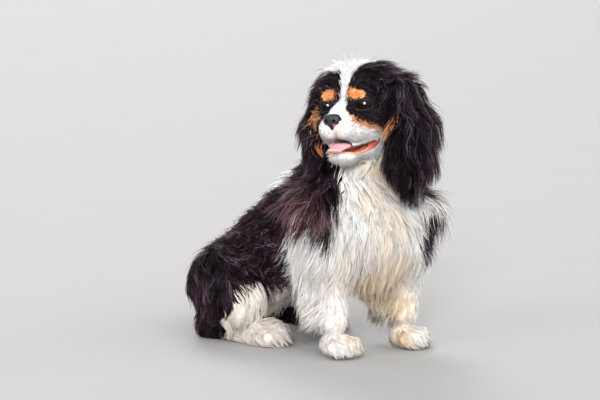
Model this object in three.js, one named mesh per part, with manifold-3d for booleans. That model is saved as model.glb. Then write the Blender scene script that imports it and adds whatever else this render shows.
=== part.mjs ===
// A cavalier king charles spaniel, life size, sitting with its head turned to its right and its mouth open.
// Millimetres, +Z up. The dog faces -Y, its left side is +X, and it rests on the plane z = 0.
import * as THREE from "three";
import { mergeVertices } from "three/addons/utils/BufferGeometryUtils.js";
import Module from "manifold-3d";

const wasm = await Module();
wasm.setup();

const V = (x, y, z) => new THREE.Vector3(x, y, z);
const mix = THREE.MathUtils.lerp;
const clamp = THREE.MathUtils.clamp;
const radians = THREE.MathUtils.degToRad;

const GAP = 0.3; // between two neighbouring nodes
const LOCK_GAP = 0.5; // between a lock and a neighbour: more, because a lock's faces are twisted
const CORE_SHARE = 0.5; // how much of the coat's depth the smooth core takes, the rest being locks
const TIP_SHARE = 1; // how far out into the coat the locks' tips reach

// A lock of the coat: a cone of few sides, bent in a few steps.
const LOCK = {
  sides: 3,
  steps: 3,
  thick: 5.5, // half its depth where it is fullest
  sink: 7, // how far its root goes under the core's surface
  rise: 1.25, // above 1, it hugs the core first and lifts towards its tip
  edge: 3, // how much further its sharp edges move out than its ridge where it is made larger
  sway: 0.12, // sideways swing of each step, in shares of its length
  waves: 5, // how fast it swings, in radians over its length
  jitter: 0.3, // how far its place, its length and its width vary
  seed: 11,
};
// Where no lock starts or goes on.
const ROOT_DEPTH = 3; // in a neighbour's flesh or coat deeper than this
const ROOT_HEIGHT = 14; // lower than this above the floor
const STEEPEST = 0.85; // where the lie points this much out of or into the body
const FOLDED = 0.2; // where a step turns so far that its cosine is less than this
const TWISTED = 1e-3; // where this much of it, in mm3, would stick out of its own larger form
const CAP_SHARE = 0.4; // how far past a line's end, in shares of its length, a row of locks may lie

// Head: the skull's centre, and how far it is turned to the dog's right, raised and tilted, in degrees.
const SKULL_CENTRE = V(8, -85, 352);
const HEAD_TURN = 68;
const HEAD_LIFT = 3;
const HEAD_TILT = 5;
const EYE_RADIUS = 11.5;
const EYE_PLACE = { forward: 37, left: 28.5, up: -1 };
const LID_THICKNESS = 2;
const LID_CORNER = 6; // how far in front of the eye's centre the lids' corners lie
const LID_UPPER = 44; // degrees by which each lid is open
const LID_LOWER = 40;
const GAZE_OUT = 16; // degrees by which each eye looks outwards
const NOSE = { forward: 82, up: -20, depth: 8, width: 25, height: 18 };
const NOSTRIL = { left: 6.2, length: 5, width: 2.4, height: 2.8 };
const CLAW = { length: 11, radius: 2.4, sides: 5, drop: 4, reach: 9 };
const TOES = [-1.5, -0.5, 0.5, 1.5]; // each toe's place across the foot, in steps of TOE_SPREAD toe radii
const TOE_SPREAD = 1.15;
const TOE_REACH = 20; // how far the middle of the foot's toes lies in front of the foot's own middle
const TOE_SLANT = 3.5; // how much further back each outer toe lies
const FOREPAW = { toe: 9.5, coat: 3 };
const HINDPAW = { toe: 8.5, coat: 5 };

const headFrame = new THREE.Matrix4()
  .makeRotationZ(radians(-90 - HEAD_TURN))
  .multiply(new THREE.Matrix4().makeRotationY(radians(-HEAD_LIFT)))
  .multiply(new THREE.Matrix4().makeRotationX(radians(HEAD_TILT)))
  .setPosition(SKULL_CENTRE);
// A point of the head: forward along the muzzle, to the dog's left, and up, from the skull's centre.
const H = (forward, left, up) => V(forward, left, up).applyMatrix4(headFrame);
const headWay = (forward, left, up) => V(forward, left, up).transformDirection(headFrame);
const LEFTWARD = headWay(0, 1, 0);
const FORWARD = headWay(1, 0, 0);

// One form of flesh: a limb from a to b with a radius at each end, wide times as broad along side, and the
// depth of its coat. blend is how softly it joins the others.
const bone = (a, b, ra, rb, more = {}) => ({
  a, b, ra, rb, wide: 1, side: V(1, 0, 0), blend: 14, coat: 0, ...more,
});

// Where the body's joints and masses lie.
const at = {
  pelvis: V(-36, 118, 78),
  loin: V(-24, 60, 128),
  ribs: V(-4, -6, 174),
  chest: V(10, -64, 188),
  sternum: V(14, -96, 164),
  brisket: V(16, -104, 118),
  withers: V(2, -30, 218),
  neckBase: V(12, -62, 236),
};
const limbs = {
  right: {
    shoulder: V(-42, -62, 190), mane: V(-52, -70, 182), elbow: V(-46, -84, 130), wrist: V(-54, -104, 46),
    paw: V(-54, -114, 15), pawWay: V(-0.12, -1, 0).normalize(),
    hip: V(-83, 100, 78), knee: V(-104, 50, 62), hock: V(-112, 104, 17), toes: V(-80, -4, 14),
  },
  left: {
    shoulder: V(80, -88, 192), mane: V(106, -110, 184), elbow: V(74, -108, 130), wrist: V(64, -124, 46),
    paw: V(62, -132, 15), pawWay: V(0.1, -1, 0).normalize(),
    hip: V(14, 126, 78), knee: V(50, 74, 60), hock: V(40, 138, 17), toes: V(60, 28, 14),
  },
};
const tailLine = [
  V(-40, 166, 52), V(-20, 192, 26), V(24, 202, 18), V(68, 186, 16), V(98, 150, 16), V(108, 108, 14),
];
const TAIL = { bone: [13, 6], coat: [12, 24] }; // at its root and at its tip

// How many faces a wrapped form has around, along, and from the end of its line to the tip of its cap.
const PLAIN = { around: 14, along: 5, caps: 3 };

const skullForms = [
  bone(H(-20, 0, 8), H(6, 0, 12), 43, 41, { wide: 1.1, side: LEFTWARD, coat: 8 }),
  bone(H(20, -17, 14), H(20, 17, 14), 27, 27, { coat: 4 }),
  ...[-1, 1].flatMap((s) => [
    bone(H(33, 22 * s, 13), H(33, 22 * s, 13), 14, 14, { blend: 8, coat: 3 }),
    bone(H(24, 34 * s, -14), H(-14, 38 * s, -12), 14, 15, { coat: 4 }),
    bone(H(26, 27 * s, -38), H(58, 18 * s, -39), 15, 12, { blend: 8, coat: 3 }),
    bone(H(52, 13 * s, -30), H(72, 11 * s, -33), 16, 14, { blend: 6, coat: 2 }),
  ]),
  bone(H(38, 0, -8), H(73, 0, -23), 20, 12, { wide: 1.15, side: LEFTWARD, blend: 10, coat: 1 }),
];
const jawForms = [
  bone(H(14, 0, -62), H(58, 0, -70), 13, 9, { wide: 1.9, side: LEFTWARD, blend: 8, coat: 4 }),
  ...[-1, 1].flatMap((s) => [
    bone(H(-14, 30 * s, -36), H(24, 22 * s, -58), 15, 11, { coat: 4 }),
    bone(H(24, 24 * s, -54), H(52, 14 * s, -62), 9, 7, { blend: 8, coat: 2 }),
  ]),
  bone(H(62, 0, -72), H(62, 0, -72), 8, 8, { wide: 1.6, side: LEFTWARD, blend: 8, coat: 5 }),
];
const tongueForms = [
  bone(H(30, 0, -58), H(62, 1, -55), 5, 4.5, { wide: 2.6, side: LEFTWARD, blend: 6 }),
  bone(H(62, 1, -55), H(79, 2, -61), 4.5, 4, { wide: 2.6, side: LEFTWARD, blend: 6 }),
];
// The left ear stands out further than the right one. reach is how far forward its tip hangs.
const earShape = {
  left: { out: 75, reach: -4, coat: [15, 22, 25] },
  right: { out: 62, reach: 8, coat: [15, 14, 17] },
};
const EAR_RADII = [8, 10, 12, 11];
const earLine = (s, { out, reach }) =>
  [H(-8, 36 * s, 34), H(-10, (out - 10) * s, 8), H(reach - 6, out * s, -38), H(reach, (out - 5) * s, -92)];
const earForms = (s, shape) => earLine(s, shape).slice(1).map((p, i) => bone(
  earLine(s, shape)[i], p, EAR_RADII[i], EAR_RADII[i + 1], { wide: 1.7, side: FORWARD, coat: shape.coat[i] },
));
const earCup = { forward: 40, left: 46, up: -46, radii: V(18, 9, 30) };
// A leg's own flesh, and the long hair behind it as one smooth form.
const forelegForms = (l) => [
  bone(l.shoulder, l.elbow, 36, 26, { coat: 22 }),
  bone(l.shoulder, l.mane, 32, 16, { coat: 36, blend: 20 }),
  bone(l.elbow, l.wrist, 23, 15, { coat: 6 }),
  bone(l.elbow.clone().add(V(-10, 38, 0)), l.wrist.clone().add(V(-14, 34, 4)), 8, 6,
    { blend: 26, coat: 18 }),
];
function pawForms(from, way, { toe, coat }) {
  const across = V(-way.y, way.x, 0).normalize();
  const heel = from.clone().addScaledVector(way, -8);
  const ball = from.clone().addScaledVector(way, 6);
  return [
    bone(heel, ball, 15, 14, { wide: 1.3, side: across, coat, blend: 8 }),
    ...toeTips(from, way, toe).map((tip) => bone(tip, tip, toe, toe, { blend: 5, coat })),
  ];
}
function toeTips(from, way, toe) {
  const across = V(-way.y, way.x, 0).normalize();
  return TOES.map((n) => from.clone()
    .addScaledVector(way, TOE_REACH - TOE_SLANT * Math.abs(n))
    .addScaledVector(across, n * toe * TOE_SPREAD));
}

// Which way the hair lies at a point of the body, the ears, the legs and the tail.
function bodyLie(p) {
  const behindChest = THREE.MathUtils.smoothstep(p.y, -80, 20);
  return V(0, mix(0.1, 0.9, behindChest), -0.7);
}
const earLie = () => headWay(-0.12, 0, -1);
const legLie = () => V(0, 0.35, -1);
function tailLie(p) {
  const nearest = [...tailLine].sort((a, b) => a.distanceTo(p) - b.distanceTo(p))[0];
  const next = tailLine[Math.min(tailLine.indexOf(nearest) + 1, tailLine.length - 1)];
  const before = tailLine[Math.max(tailLine.indexOf(nearest) - 1, 0)];
  return next.clone().sub(before).normalize();
}

// Each node of flesh: its forms, the line that its surface is wrapped round, and its locks: their rows along
// that line from one share of its length to another, how many go round it in each row, their size and lie.
// The order is that of cutting: each is cut clear of all that come before it.
const flesh = {
  torso: {
    locks: { from: -0.05, to: 1.32, rows: 7, round: 8, length: 82, width: 50, lie: bodyLie },
    forms: [
      bone(at.pelvis, at.loin, 60, 52, { coat: 15 }),
      bone(at.loin, at.ribs, 52, 58, { coat: 16, blend: 20 }),
      bone(at.ribs, at.chest, 60, 58, { coat: 22, wide: 1.1, blend: 20 }),
      bone(at.chest, at.sternum, 56, 46, { coat: 26, wide: 1.15, blend: 20 }),
      bone(at.sternum, at.brisket, 30, 16, { coat: 24, wide: 1.1, blend: 20 }),
      bone(at.ribs, at.withers, 44, 34, { coat: 16, blend: 24 }),
    ],
    line: [at.pelvis, at.loin, at.ribs, at.chest],
    finesse: { around: 20, along: 9, caps: 5 },
  },
  head: {
    forms: skullForms,
    line: [H(-24, 0, 8), H(58, 0, -26)],
    finesse: { around: 28, along: 10, caps: 8 },
  },
  ear_left: {
    locks: { from: 0, to: 0.85, rows: 3, round: 6, length: 88, width: 44, lie: earLie },
    forms: earForms(1, earShape.left),
    line: earLine(1, earShape.left).slice(1),
  },
  ear_right: {
    locks: { from: 0, to: 0.85, rows: 3, round: 5, length: 82, width: 42, lie: earLie },
    forms: earForms(-1, earShape.right),
    line: earLine(-1, earShape.right).slice(1),
  },
  neck: {
    locks: { from: 0.35, to: 0.95, rows: 2, round: 7, length: 80, width: 46, lie: legLie },
    forms: [bone(H(-26, 0, -46), at.neckBase, 38, 50, { coat: 20 })],
    line: [H(-26, 0, -46), at.neckBase],
    finesse: { around: 12, along: 4, caps: 2 },
  },
  jaw: {
    forms: jawForms,
    line: [H(6, 0, -58), H(56, 0, -70)],
    finesse: { around: 18, along: 6, caps: 3 },
  },
  tongue: {
    forms: tongueForms,
    line: [H(32, 0, -58), H(62, 1, -55), H(77, 2, -60)],
    finesse: { around: 8, along: 6, caps: 2 },
  },
};
for (const [side, l] of Object.entries(limbs)) {
  const footWay = l.toes.clone().sub(l.hock).setZ(0).normalize();
  const footLie = () => V(0, 0.3, -0.5).sub(footWay);
  const toeBase = l.toes.clone().addScaledVector(footWay, -14);
  const clawsOf = (from, way, toe) => toeTips(from, way, toe).map((tip) => ({ tip, way }));
  flesh["foreleg_" + side] = {
    forms: forelegForms(l),
    line: [l.shoulder, l.elbow, l.wrist],
    locks: { from: -0.15, to: 0.85, rows: 4, round: 6, length: 70, width: 36, lie: legLie },
  };
  flesh["forepaw_" + side] = {
    forms: pawForms(l.paw, l.pawWay, FOREPAW),
    line: [l.paw.clone().addScaledVector(l.pawWay, -8), l.paw.clone().addScaledVector(l.pawWay, 12)],
    claws: clawsOf(l.paw, l.pawWay, FOREPAW.toe),
  };
  flesh["thigh_" + side] = {
    forms: [bone(l.hip, l.knee, 52, 34, { coat: 15 }), bone(l.knee, l.hock, 26, 18, { coat: 10 })],
    line: [l.hip, l.knee],
    locks: { from: -0.15, to: 0.9, rows: 3, round: 6, length: 74, width: 44, lie: legLie },
  };
  flesh["hindfoot_" + side] = {
    forms: [bone(l.hock, l.toes, 15, 13, { coat: 8, blend: 8 }), ...pawForms(toeBase, footWay, HINDPAW)],
    line: [l.hock, l.toes],
    claws: clawsOf(toeBase, footWay, HINDPAW.toe),
    locks: { from: 0.1, to: 0.55, rows: 1, round: 4, length: 44, width: 26, lie: footLie },
  };
}
const tailAt = (range, i) => mix(...range, i / (tailLine.length - 1));
flesh.tail = {
  forms: tailLine.slice(1).map((p, i) => bone(
    tailLine[i], p, tailAt(TAIL.bone, i), tailAt(TAIL.bone, i + 1), { coat: tailAt(TAIL.coat, i + 1) },
  )),
  line: tailLine,
  locks: { from: 0.2, to: 0.95, rows: 3, round: 4, length: 70, width: 30, lie: tailLie },
};

// Distance from p to one form, and a smooth union of several.
function formDistance(p, f, coatShare) {
  const along = f.b.clone().sub(f.a);
  const length2 = along.lengthSq();
  const share = length2 > 0 ? clamp(p.clone().sub(f.a).dot(along) / length2, 0, 1) : 0;
  const off = p.clone().sub(f.a).addScaledVector(along, -share);
  off.addScaledVector(f.side, off.dot(f.side) * (1 / f.wide - 1));
  return off.length() - mix(f.ra, f.rb, share) - f.coat * coatShare;
}
const blended = (d, e, k) => Math.min(d, e) - Math.max(k - Math.abs(d - e), 0) ** 2 / (4 * k);
const fieldOf = (list, coatShare, grow) => (p) =>
  list.reduce((d, f) => blended(d, formDistance(p, f, coatShare), f.blend), 1e3) - grow;

// The axis that a curve crosses most squarely all along, so that a ring set out from it never turns over.
function squareAxis(curve) {
  const tangents = [0, 0.2, 0.4, 0.6, 0.8, 1].map((t) => curve.getTangent(t));
  const steepest = (axis) => Math.max(...tangents.map((tangent) => Math.abs(tangent.dot(axis))));
  return [V(1, 0, 0), V(0, 1, 0), V(0, 0, 1)].sort((a, b) => steepest(a) - steepest(b))[0];
}
// A curve through points, with the two directions square to it at each share t of its length.
function spine(points) {
  const curve = points.length > 2 ? new THREE.CatmullRomCurve3(points) : new THREE.LineCurve3(...points);
  const axis = squareAxis(curve);
  return (t) => {
    const tangent = curve.getTangent(t);
    const across = axis.clone().cross(tangent).normalize();
    return { base: curve.getPoint(t), tangent, across, third: across.clone().cross(tangent) };
  };
}
// A capsule whose axis follows a line of points, each of its vertices pushed out to where the field is zero.
function wrapped(field, points, { around, along, caps }) {
  const placeAt = spine(points);
  const geometry = new THREE.CapsuleGeometry(1, 2, caps, around, along);
  const position = geometry.attributes.position;
  for (let i = 0; i < position.count; i++) {
    const y = position.getY(i);
    const { base, tangent, across, third } = placeAt(clamp((y + 1) / 2, 0, 1));
    const way = across.multiplyScalar(position.getX(i)).addScaledVector(third, position.getZ(i))
      .addScaledVector(tangent, y - clamp(y, -1, 1)).normalize();
    const hit = pushedOut(field, base, way);
    position.setXYZ(i, hit.x, hit.y, hit.z);
  }
  return solid(geometry);
}
// The first point out from base along way where the field is no longer below zero.
function pushedOut(field, base, way) {
  let near = 0;
  let far = 0;
  for (let step = 0; step < 200; step++) {
    const d = field(base.clone().addScaledVector(way, far));
    if (d >= 0) break;
    near = far;
    far += Math.max(-d * 0.9, 0.3);
  }
  for (let step = 0; step < 12; step++) {
    const middle = (near + far) / 2;
    if (field(base.clone().addScaledVector(way, middle)) < 0) near = middle;
    else far = middle;
  }
  return base.clone().addScaledVector(way, far);
}

// A flat lock that tapers to a point, bent along the points of its path. Its width lies across the path and
// along the surface, and grow makes it larger all round.
function lockSolid({ path, normals, width }, grow) {
  const cone = new THREE.ConeGeometry(1, 1, LOCK.sides, LOCK.steps);
  const position = cone.attributes.position;
  for (let i = 0; i < position.count; i++) {
    const t = position.getY(i) + 0.5;
    const step = Math.round(t * LOCK.steps);
    const ahead = path[Math.min(step + 1, LOCK.steps)].clone().sub(path[Math.max(step - 1, 0)]).normalize();
    const across = ahead.clone().cross(normals[step]).normalize();
    const out = across.clone().cross(ahead);
    const rim = Math.max(1 - t, 1e-6);
    const full = t < 1 ? Math.sin(Math.PI * (0.3 + 0.7 * t)) ** 0.7 : 0;
    const place = path[step].clone()
      .addScaledVector(across, (position.getX(i) / rim) * (full * width / 2 + LOCK.edge * grow))
      .addScaledVector(out, (position.getZ(i) / rim) * (full * LOCK.thick + grow));
    if (t === 1) place.copy(path[step]).addScaledVector(ahead, grow);
    position.setXYZ(i, place.x, place.y, place.z);
  }
  return solid(cone);
}
const normalAt = (field, p) => V(
  field(V(p.x + 0.5, p.y, p.z)) - field(V(p.x - 0.5, p.y, p.z)),
  field(V(p.x, p.y + 0.5, p.z)) - field(V(p.x, p.y - 0.5, p.z)),
  field(V(p.x, p.y, p.z + 0.5)) - field(V(p.x, p.y, p.z - 0.5)),
).normalize();
// The locks of one node, in rows round its line.
function locksOf({ forms, line, locks }) {
  if (!locks) return [];
  const random = seeded(LOCK.seed);
  const varied = () => 1 + LOCK.jitter * (random() - 0.5);
  const core = fieldOf(forms, CORE_SHARE, 0);
  const own = fieldOf(forms, 1, 0);
  const others = fieldOf(bodyForms.filter((f) => !forms.includes(f)), 1, 0);
  const placeAt = spine(line);
  const found = [];
  for (let row = 0; row < locks.rows; row++) {
    for (let i = 0; i < locks.round; i++) {
      const place = (row + varied() - 1) / Math.max(locks.rows - 1, 1);
      const t = mix(locks.from, locks.to, place);
      const beyond = radians(90) * clamp((t - clamp(t, 0, 1)) / CAP_SHARE, -1, 1);
      const turn = 2 * Math.PI * (i + 0.5 * (row % 2) + varied() - 1) / locks.round;
      const { base, tangent, across, third } = placeAt(clamp(t, 0, 1));
      const way = across.multiplyScalar(Math.cos(turn)).addScaledVector(third, Math.sin(turn))
        .multiplyScalar(Math.cos(beyond)).addScaledVector(tangent, Math.sin(beyond));
      const root = pushedOut(core, base, way);
      const size = { length: locks.length * varied(), width: locks.width * varied() };
      const phase = 2 * Math.PI * random();
      const buried = body(CORE_SHARE)(root) < -ROOT_DEPTH || others(root) < own(root) - ROOT_DEPTH;
      if (buried || root.z < ROOT_HEIGHT) continue;
      const lock = { ...lockAlong(root, locks.lie, size.length, phase), width: size.width };
      if (lock.path && !twisted(lock)) found.push(lock);
    }
  }
  return found;
}
// A lock is too twisted to use where it isn't held by the same lock made larger.
const twisted = (lock) => lockSolid(lock, 0).subtract(lockSolid(lock, LOCK_GAP)).volume() > TWISTED;
// A lock's path: it starts under the core's surface and follows the whole body's surface along the lie of the
// coat, rising to the tips' level. There is none where the lie is too steep, or the path would fold over.
function lockAlong(root, lie, length, phase) {
  const first = normalAt(body(CORE_SHARE), root);
  if (Math.abs(lie(root).normalize().dot(first)) > STEEPEST) return null;
  const path = [root.clone().addScaledVector(first, -LOCK.sink)];
  const normals = [first];
  let p = root.clone();
  for (let k = 1; k <= LOCK.steps; k++) {
    const share = k / LOCK.steps;
    const level = body(mix(CORE_SHARE, TIP_SHARE, share ** LOCK.rise));
    const ahead = lie(p);
    ahead.addScaledVector(normals[k - 1], -ahead.dot(normals[k - 1])).normalize();
    const aside = normals[k - 1].clone().cross(ahead);
    p = p.clone().addScaledVector(ahead, length / LOCK.steps)
      .addScaledVector(aside, length * LOCK.sway * Math.sin(phase + LOCK.waves * share));
    p.addScaledVector(normalAt(level, p), -level(p));
    p.z = Math.max(p.z, LOCK.thick + 1);
    path.push(p.clone());
    normals.push(normals[k - 1].clone().add(normalAt(level, p)).normalize());
  }
  const ways = path.slice(1).map((q, k) => q.clone().sub(path[k]).normalize());
  const folds = ways.some((way, k) => k > 0 && way.dot(ways[k - 1]) < FOLDED);
  return folds ? null : { path, normals };
}
// Numbers from 0 to 1 that come out alike each time.
function seeded(seed) {
  let state = seed;
  return () => {
    state = (state * 1664525 + 1013904223) % 4294967296;
    return state / 4294967296;
  };
}

// A closed three.js geometry as a solid that can be joined and cut, and the way back.
function solid(geometry) {
  const bare = geometry.clone();
  bare.deleteAttribute("normal");
  bare.deleteAttribute("uv");
  const merged = mergeVertices(bare, 1e-3);
  const index = merged.index.array;
  const kept = [];
  for (let i = 0; i < index.length; i += 3) {
    const [a, b, c] = [index[i], index[i + 1], index[i + 2]];
    if (a !== b && b !== c && c !== a) kept.push(a, b, c);
  }
  const made = new wasm.Manifold(new wasm.Mesh({
    numProp: 3,
    vertProperties: merged.attributes.position.array,
    triVerts: new Uint32Array(kept),
  }));
  if (made.volume() < 0) throw new Error("a form is inside out");
  return made;
}
function geometryOf(made) {
  const mesh = made.getMesh();
  return new THREE.BufferGeometry()
    .setAttribute("position", new THREE.BufferAttribute(new Float32Array(mesh.vertProperties), 3))
    .setIndex(new THREE.BufferAttribute(new Uint32Array(mesh.triVerts), 1));
}
const largest = (made) => made.decompose().sort((a, b) => b.volume() - a.volume())[0];

// Eyes, lids, nose and ears' cups, in the head's frame. s is 1 on the dog's left and -1 on its right.
const eyeCentre = (s) => H(EYE_PLACE.forward, EYE_PLACE.left * s, EYE_PLACE.up);
const ball = (centre, radius) =>
  solid(new THREE.SphereGeometry(radius, 12, 8).translate(centre.x, centre.y, centre.z));
// The gap between the lids: a wedge whose edge lies across the eye, turned out with the gaze.
function lidGap(s) {
  const reach = EYE_RADIUS * 2;
  const outline = new THREE.Shape([
    new THREE.Vector2(LID_CORNER + reach, -reach * Math.tan(radians(LID_LOWER))),
    new THREE.Vector2(LID_CORNER + reach, reach * Math.tan(radians(LID_UPPER))),
    new THREE.Vector2(LID_CORNER, 0),
  ]);
  const depth = EYE_RADIUS * 3;
  const wedge = new THREE.ExtrudeGeometry(outline, { depth, bevelEnabled: false });
  wedge.translate(0, 0, -depth / 2).rotateX(radians(90)).rotateZ(radians(GAZE_OUT * s));
  wedge.translate(EYE_PLACE.forward, EYE_PLACE.left * s, EYE_PLACE.up);
  const lids = ball(eyeCentre(s), EYE_RADIUS + LID_THICKNESS + GAP);
  return lids.intersect(solid(wedge.applyMatrix4(headFrame)));
}
function nosePad(grow) {
  const pad = new THREE.SphereGeometry(1, 16, 10);
  pad.scale(NOSE.depth + grow, NOSE.width / 2 + grow, NOSE.height / 2 + grow);
  pad.translate(NOSE.forward, 0, NOSE.up);
  return solid(pad.applyMatrix4(headFrame));
}
function nostril(s) {
  const pit = new THREE.SphereGeometry(1, 8, 6).scale(NOSTRIL.length, NOSTRIL.width, NOSTRIL.height);
  pit.rotateZ(radians(25 * s)).translate(NOSE.forward + NOSE.depth, NOSTRIL.left * s, NOSE.up);
  return solid(pit.applyMatrix4(headFrame));
}
function cup(s) {
  const hollow = new THREE.SphereGeometry(1, 14, 10).scale(earCup.radii.x, earCup.radii.y, earCup.radii.z);
  return solid(hollow.translate(earCup.forward, earCup.left * s, earCup.up).applyMatrix4(headFrame));
}
function claw({ tip, way }) {
  const horn = new THREE.ConeGeometry(CLAW.radius, CLAW.length, CLAW.sides, 2);
  const position = horn.attributes.position;
  for (let i = 0; i < position.count; i++) {
    const out = position.getY(i) / CLAW.length + 0.5;
    position.setZ(i, position.getZ(i) - CLAW.drop * out * out);
  }
  horn.rotateX(radians(90)).rotateY(radians(180)).rotateZ(Math.atan2(way.y, way.x) - radians(90));
  const place = tip.clone().addScaledVector(way, CLAW.reach);
  return solid(horn.translate(place.x, place.y, place.z));
}

// The whole body's forms. Where a node has no locks, its surface always lies at the tips of its coat.
const bodyForms = Object.entries(flesh).filter(([name]) => name !== "tongue").flatMap(
  ([, { forms, locks }]) =>
    locks ? forms : forms.map((f) => ({ ...f, ra: f.ra + f.coat, rb: f.rb + f.coat, coat: 0 })),
);
const body = (share) => fieldOf(bodyForms, share, 0);
const floor = solid(new THREE.BoxGeometry(1000, 1000, 200).translate(0, 0, -100));
const sides = { left: 1, right: -1 };
const solids = {};
const grown = {};
for (const [side, s] of Object.entries(sides)) {
  solids["eye_" + side] = ball(eyeCentre(s), EYE_RADIUS);
  grown["eye_" + side] = ball(eyeCentre(s), EYE_RADIUS + GAP);
}
solids.nose = nosePad(0).subtract(nostril(1)).subtract(nostril(-1));
grown.nose = nosePad(GAP);
for (const [name, node] of Object.entries(flesh)) {
  const { forms, line, finesse = PLAIN, claws = [] } = node;
  const strands = locksOf(node);
  const share = strands.length ? CORE_SHARE : 1;
  const withLocks = (core, grow) => strands.reduce((sum, each) => sum.add(lockSolid(each, grow)), core);
  let made = withLocks(wrapped(fieldOf(forms, share, 0), line, finesse), 0);
  for (const [side, s] of Object.entries(sides)) {
    const lids = ball(eyeCentre(s), EYE_RADIUS + LID_THICKNESS);
    if (name === "head") made = made.add(lids).subtract(lidGap(s));
    if (name === "ear_" + side) made = made.subtract(cup(s));
  }
  for (const other of Object.values(grown)) made = made.subtract(other);
  for (const each of claws) made = made.add(claw(each));
  solids[name] = largest(made.subtract(floor));
  grown[name] = withLocks(wrapped(fieldOf(forms, share, GAP), line, finesse), LOCK_GAP);
}

// Colour and roughness of each node's coat or skin.
const BLACK = [0x242024, 0.7];
const WHITE = [0xe6ddd0, 0.8];
const looks = {
  eye: [0x2a160c, 0.1],
  nose: [0x232022, 0.35],
  tongue: [0xd9938f, 0.4],
  head: BLACK,
  jaw: WHITE,
  ear: BLACK,
  neck: WHITE,
  torso: BLACK,
  foreleg: WHITE,
  forepaw: WHITE,
  thigh: BLACK,
  hindfoot: WHITE,
  tail: BLACK,
};
const group = new THREE.Group();
for (const [name, made] of Object.entries(solids)) {
  const [color, roughness] = looks[name.split("_")[0]];
  const material = new THREE.MeshStandardMaterial({ color, roughness, metalness: 0 });
  const mesh = new THREE.Mesh(geometryOf(made), material);
  mesh.name = name;
  group.add(mesh);
}
// The origin lies on the floor, under the middle of the whole.
const box = new THREE.Box3().setFromObject(group);
const middle = box.getCenter(V(0, 0, 0));
group.position.set(-middle.x, -middle.y, -box.min.z);
export default group;
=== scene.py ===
"""A tricolour spaniel that sits with its head turned: skin, eyes, nose, tongue, claws, whiskers and coat."""

import math

import bpy
import numpy as np
from bpy.props import FloatProperty, FloatVectorProperty, IntProperty, PointerProperty
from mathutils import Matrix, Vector
from mathutils.kdtree import KDTree


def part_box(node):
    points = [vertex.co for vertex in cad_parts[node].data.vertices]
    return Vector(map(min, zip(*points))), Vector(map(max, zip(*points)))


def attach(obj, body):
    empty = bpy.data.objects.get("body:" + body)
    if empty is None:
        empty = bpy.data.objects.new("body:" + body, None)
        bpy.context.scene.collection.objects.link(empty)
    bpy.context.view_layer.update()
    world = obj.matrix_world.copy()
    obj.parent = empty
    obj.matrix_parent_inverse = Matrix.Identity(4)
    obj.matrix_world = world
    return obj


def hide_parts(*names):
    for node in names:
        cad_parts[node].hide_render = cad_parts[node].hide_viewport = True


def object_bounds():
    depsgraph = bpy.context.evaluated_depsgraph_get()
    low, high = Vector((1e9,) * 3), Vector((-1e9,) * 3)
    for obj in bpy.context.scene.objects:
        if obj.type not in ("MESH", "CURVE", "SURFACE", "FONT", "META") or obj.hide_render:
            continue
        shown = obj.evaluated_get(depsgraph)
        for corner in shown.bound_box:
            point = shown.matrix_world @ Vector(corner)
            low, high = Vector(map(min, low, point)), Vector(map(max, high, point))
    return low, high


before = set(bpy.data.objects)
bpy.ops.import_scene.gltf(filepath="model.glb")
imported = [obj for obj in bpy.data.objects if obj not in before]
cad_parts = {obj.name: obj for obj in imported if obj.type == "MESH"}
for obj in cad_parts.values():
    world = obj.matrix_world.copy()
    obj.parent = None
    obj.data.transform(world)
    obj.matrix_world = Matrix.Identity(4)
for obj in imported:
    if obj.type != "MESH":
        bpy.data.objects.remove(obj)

bl_info = {
    "name": "Seated Spaniel",
    "version": (1, 0, 0),
    "blender": (4, 5, 0),
    "location": "View3D > Sidebar > Spaniel",
    "description": "Builds a seated long-coated spaniel over its packed model",
    "category": "Add Mesh",
}

PACKED_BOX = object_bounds()

# ---------------------------------------------------------------- shape of the dog, in millimetres
# The dog faces -Y, its left side is +X, and it sits on z = 0. Head points are given forward, left and up.
SKULL_CENTRE = np.array((8.0, -85.0, 352.0))
HEAD_TURN, HEAD_LIFT, HEAD_TILT = 68, 3, 5
EYE_RADIUS = 12.2
EYE_BULGE, EYE_BULGE_ANGLE = 0.035, 34
EYE_PLACE = np.array((37.0, 28.5, -1.0))
GAZE_OUT = 16
LID_THICKNESS = 1.6
LID_CORNER = 4.3
LID_ANGLE = 41
LID_SHIFT = np.array((0.0, -2.4, -2.2))
NOSE_PLACE = np.array((82.0, -0.8, -21.5))
NOSE_SCALE = 1.07
NOSE_GROOVE = ((92, -0.8, -29), (84, 0, -40), 0.6, 0.4)
FACE_REACH = 130
SOLE_HEIGHT = 1.0
BOTH_SIDES = (-1, 1)


def turned_about(axis, degrees):
    """The matrix of a turn about one axis."""
    c, s = math.cos(math.radians(degrees)), math.sin(math.radians(degrees))
    return np.array({
        "X": ((1, 0, 0), (0, c, -s), (0, s, c)),
        "Y": ((c, 0, s), (0, 1, 0), (-s, 0, c)),
        "Z": ((c, -s, 0), (s, c, 0), (0, 0, 1)),
    }[axis])


HEAD_AXES = turned_about("Z", -90 - HEAD_TURN) @ turned_about("Y", -HEAD_LIFT) @ turned_about("X", HEAD_TILT)


def head_point(forward, left, up):
    return HEAD_AXES @ (forward, left, up) + SKULL_CENTRE


def to_head(points):
    """Points of the body as forward, left and up from the skull's centre."""
    return (points - SKULL_CENTRE) @ HEAD_AXES


def from_head(points):
    return points @ HEAD_AXES.T + SKULL_CENTRE


LEFTWARD, FORWARD = HEAD_AXES @ (0, 1, 0), HEAD_AXES @ (1, 0, 0)
OFFSET = np.array(sum(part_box("eye_left"), Vector())) * 500 - head_point(*EYE_PLACE)


def to_scene(points):
    return (np.asarray(points) + OFFSET) / 1000


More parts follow.
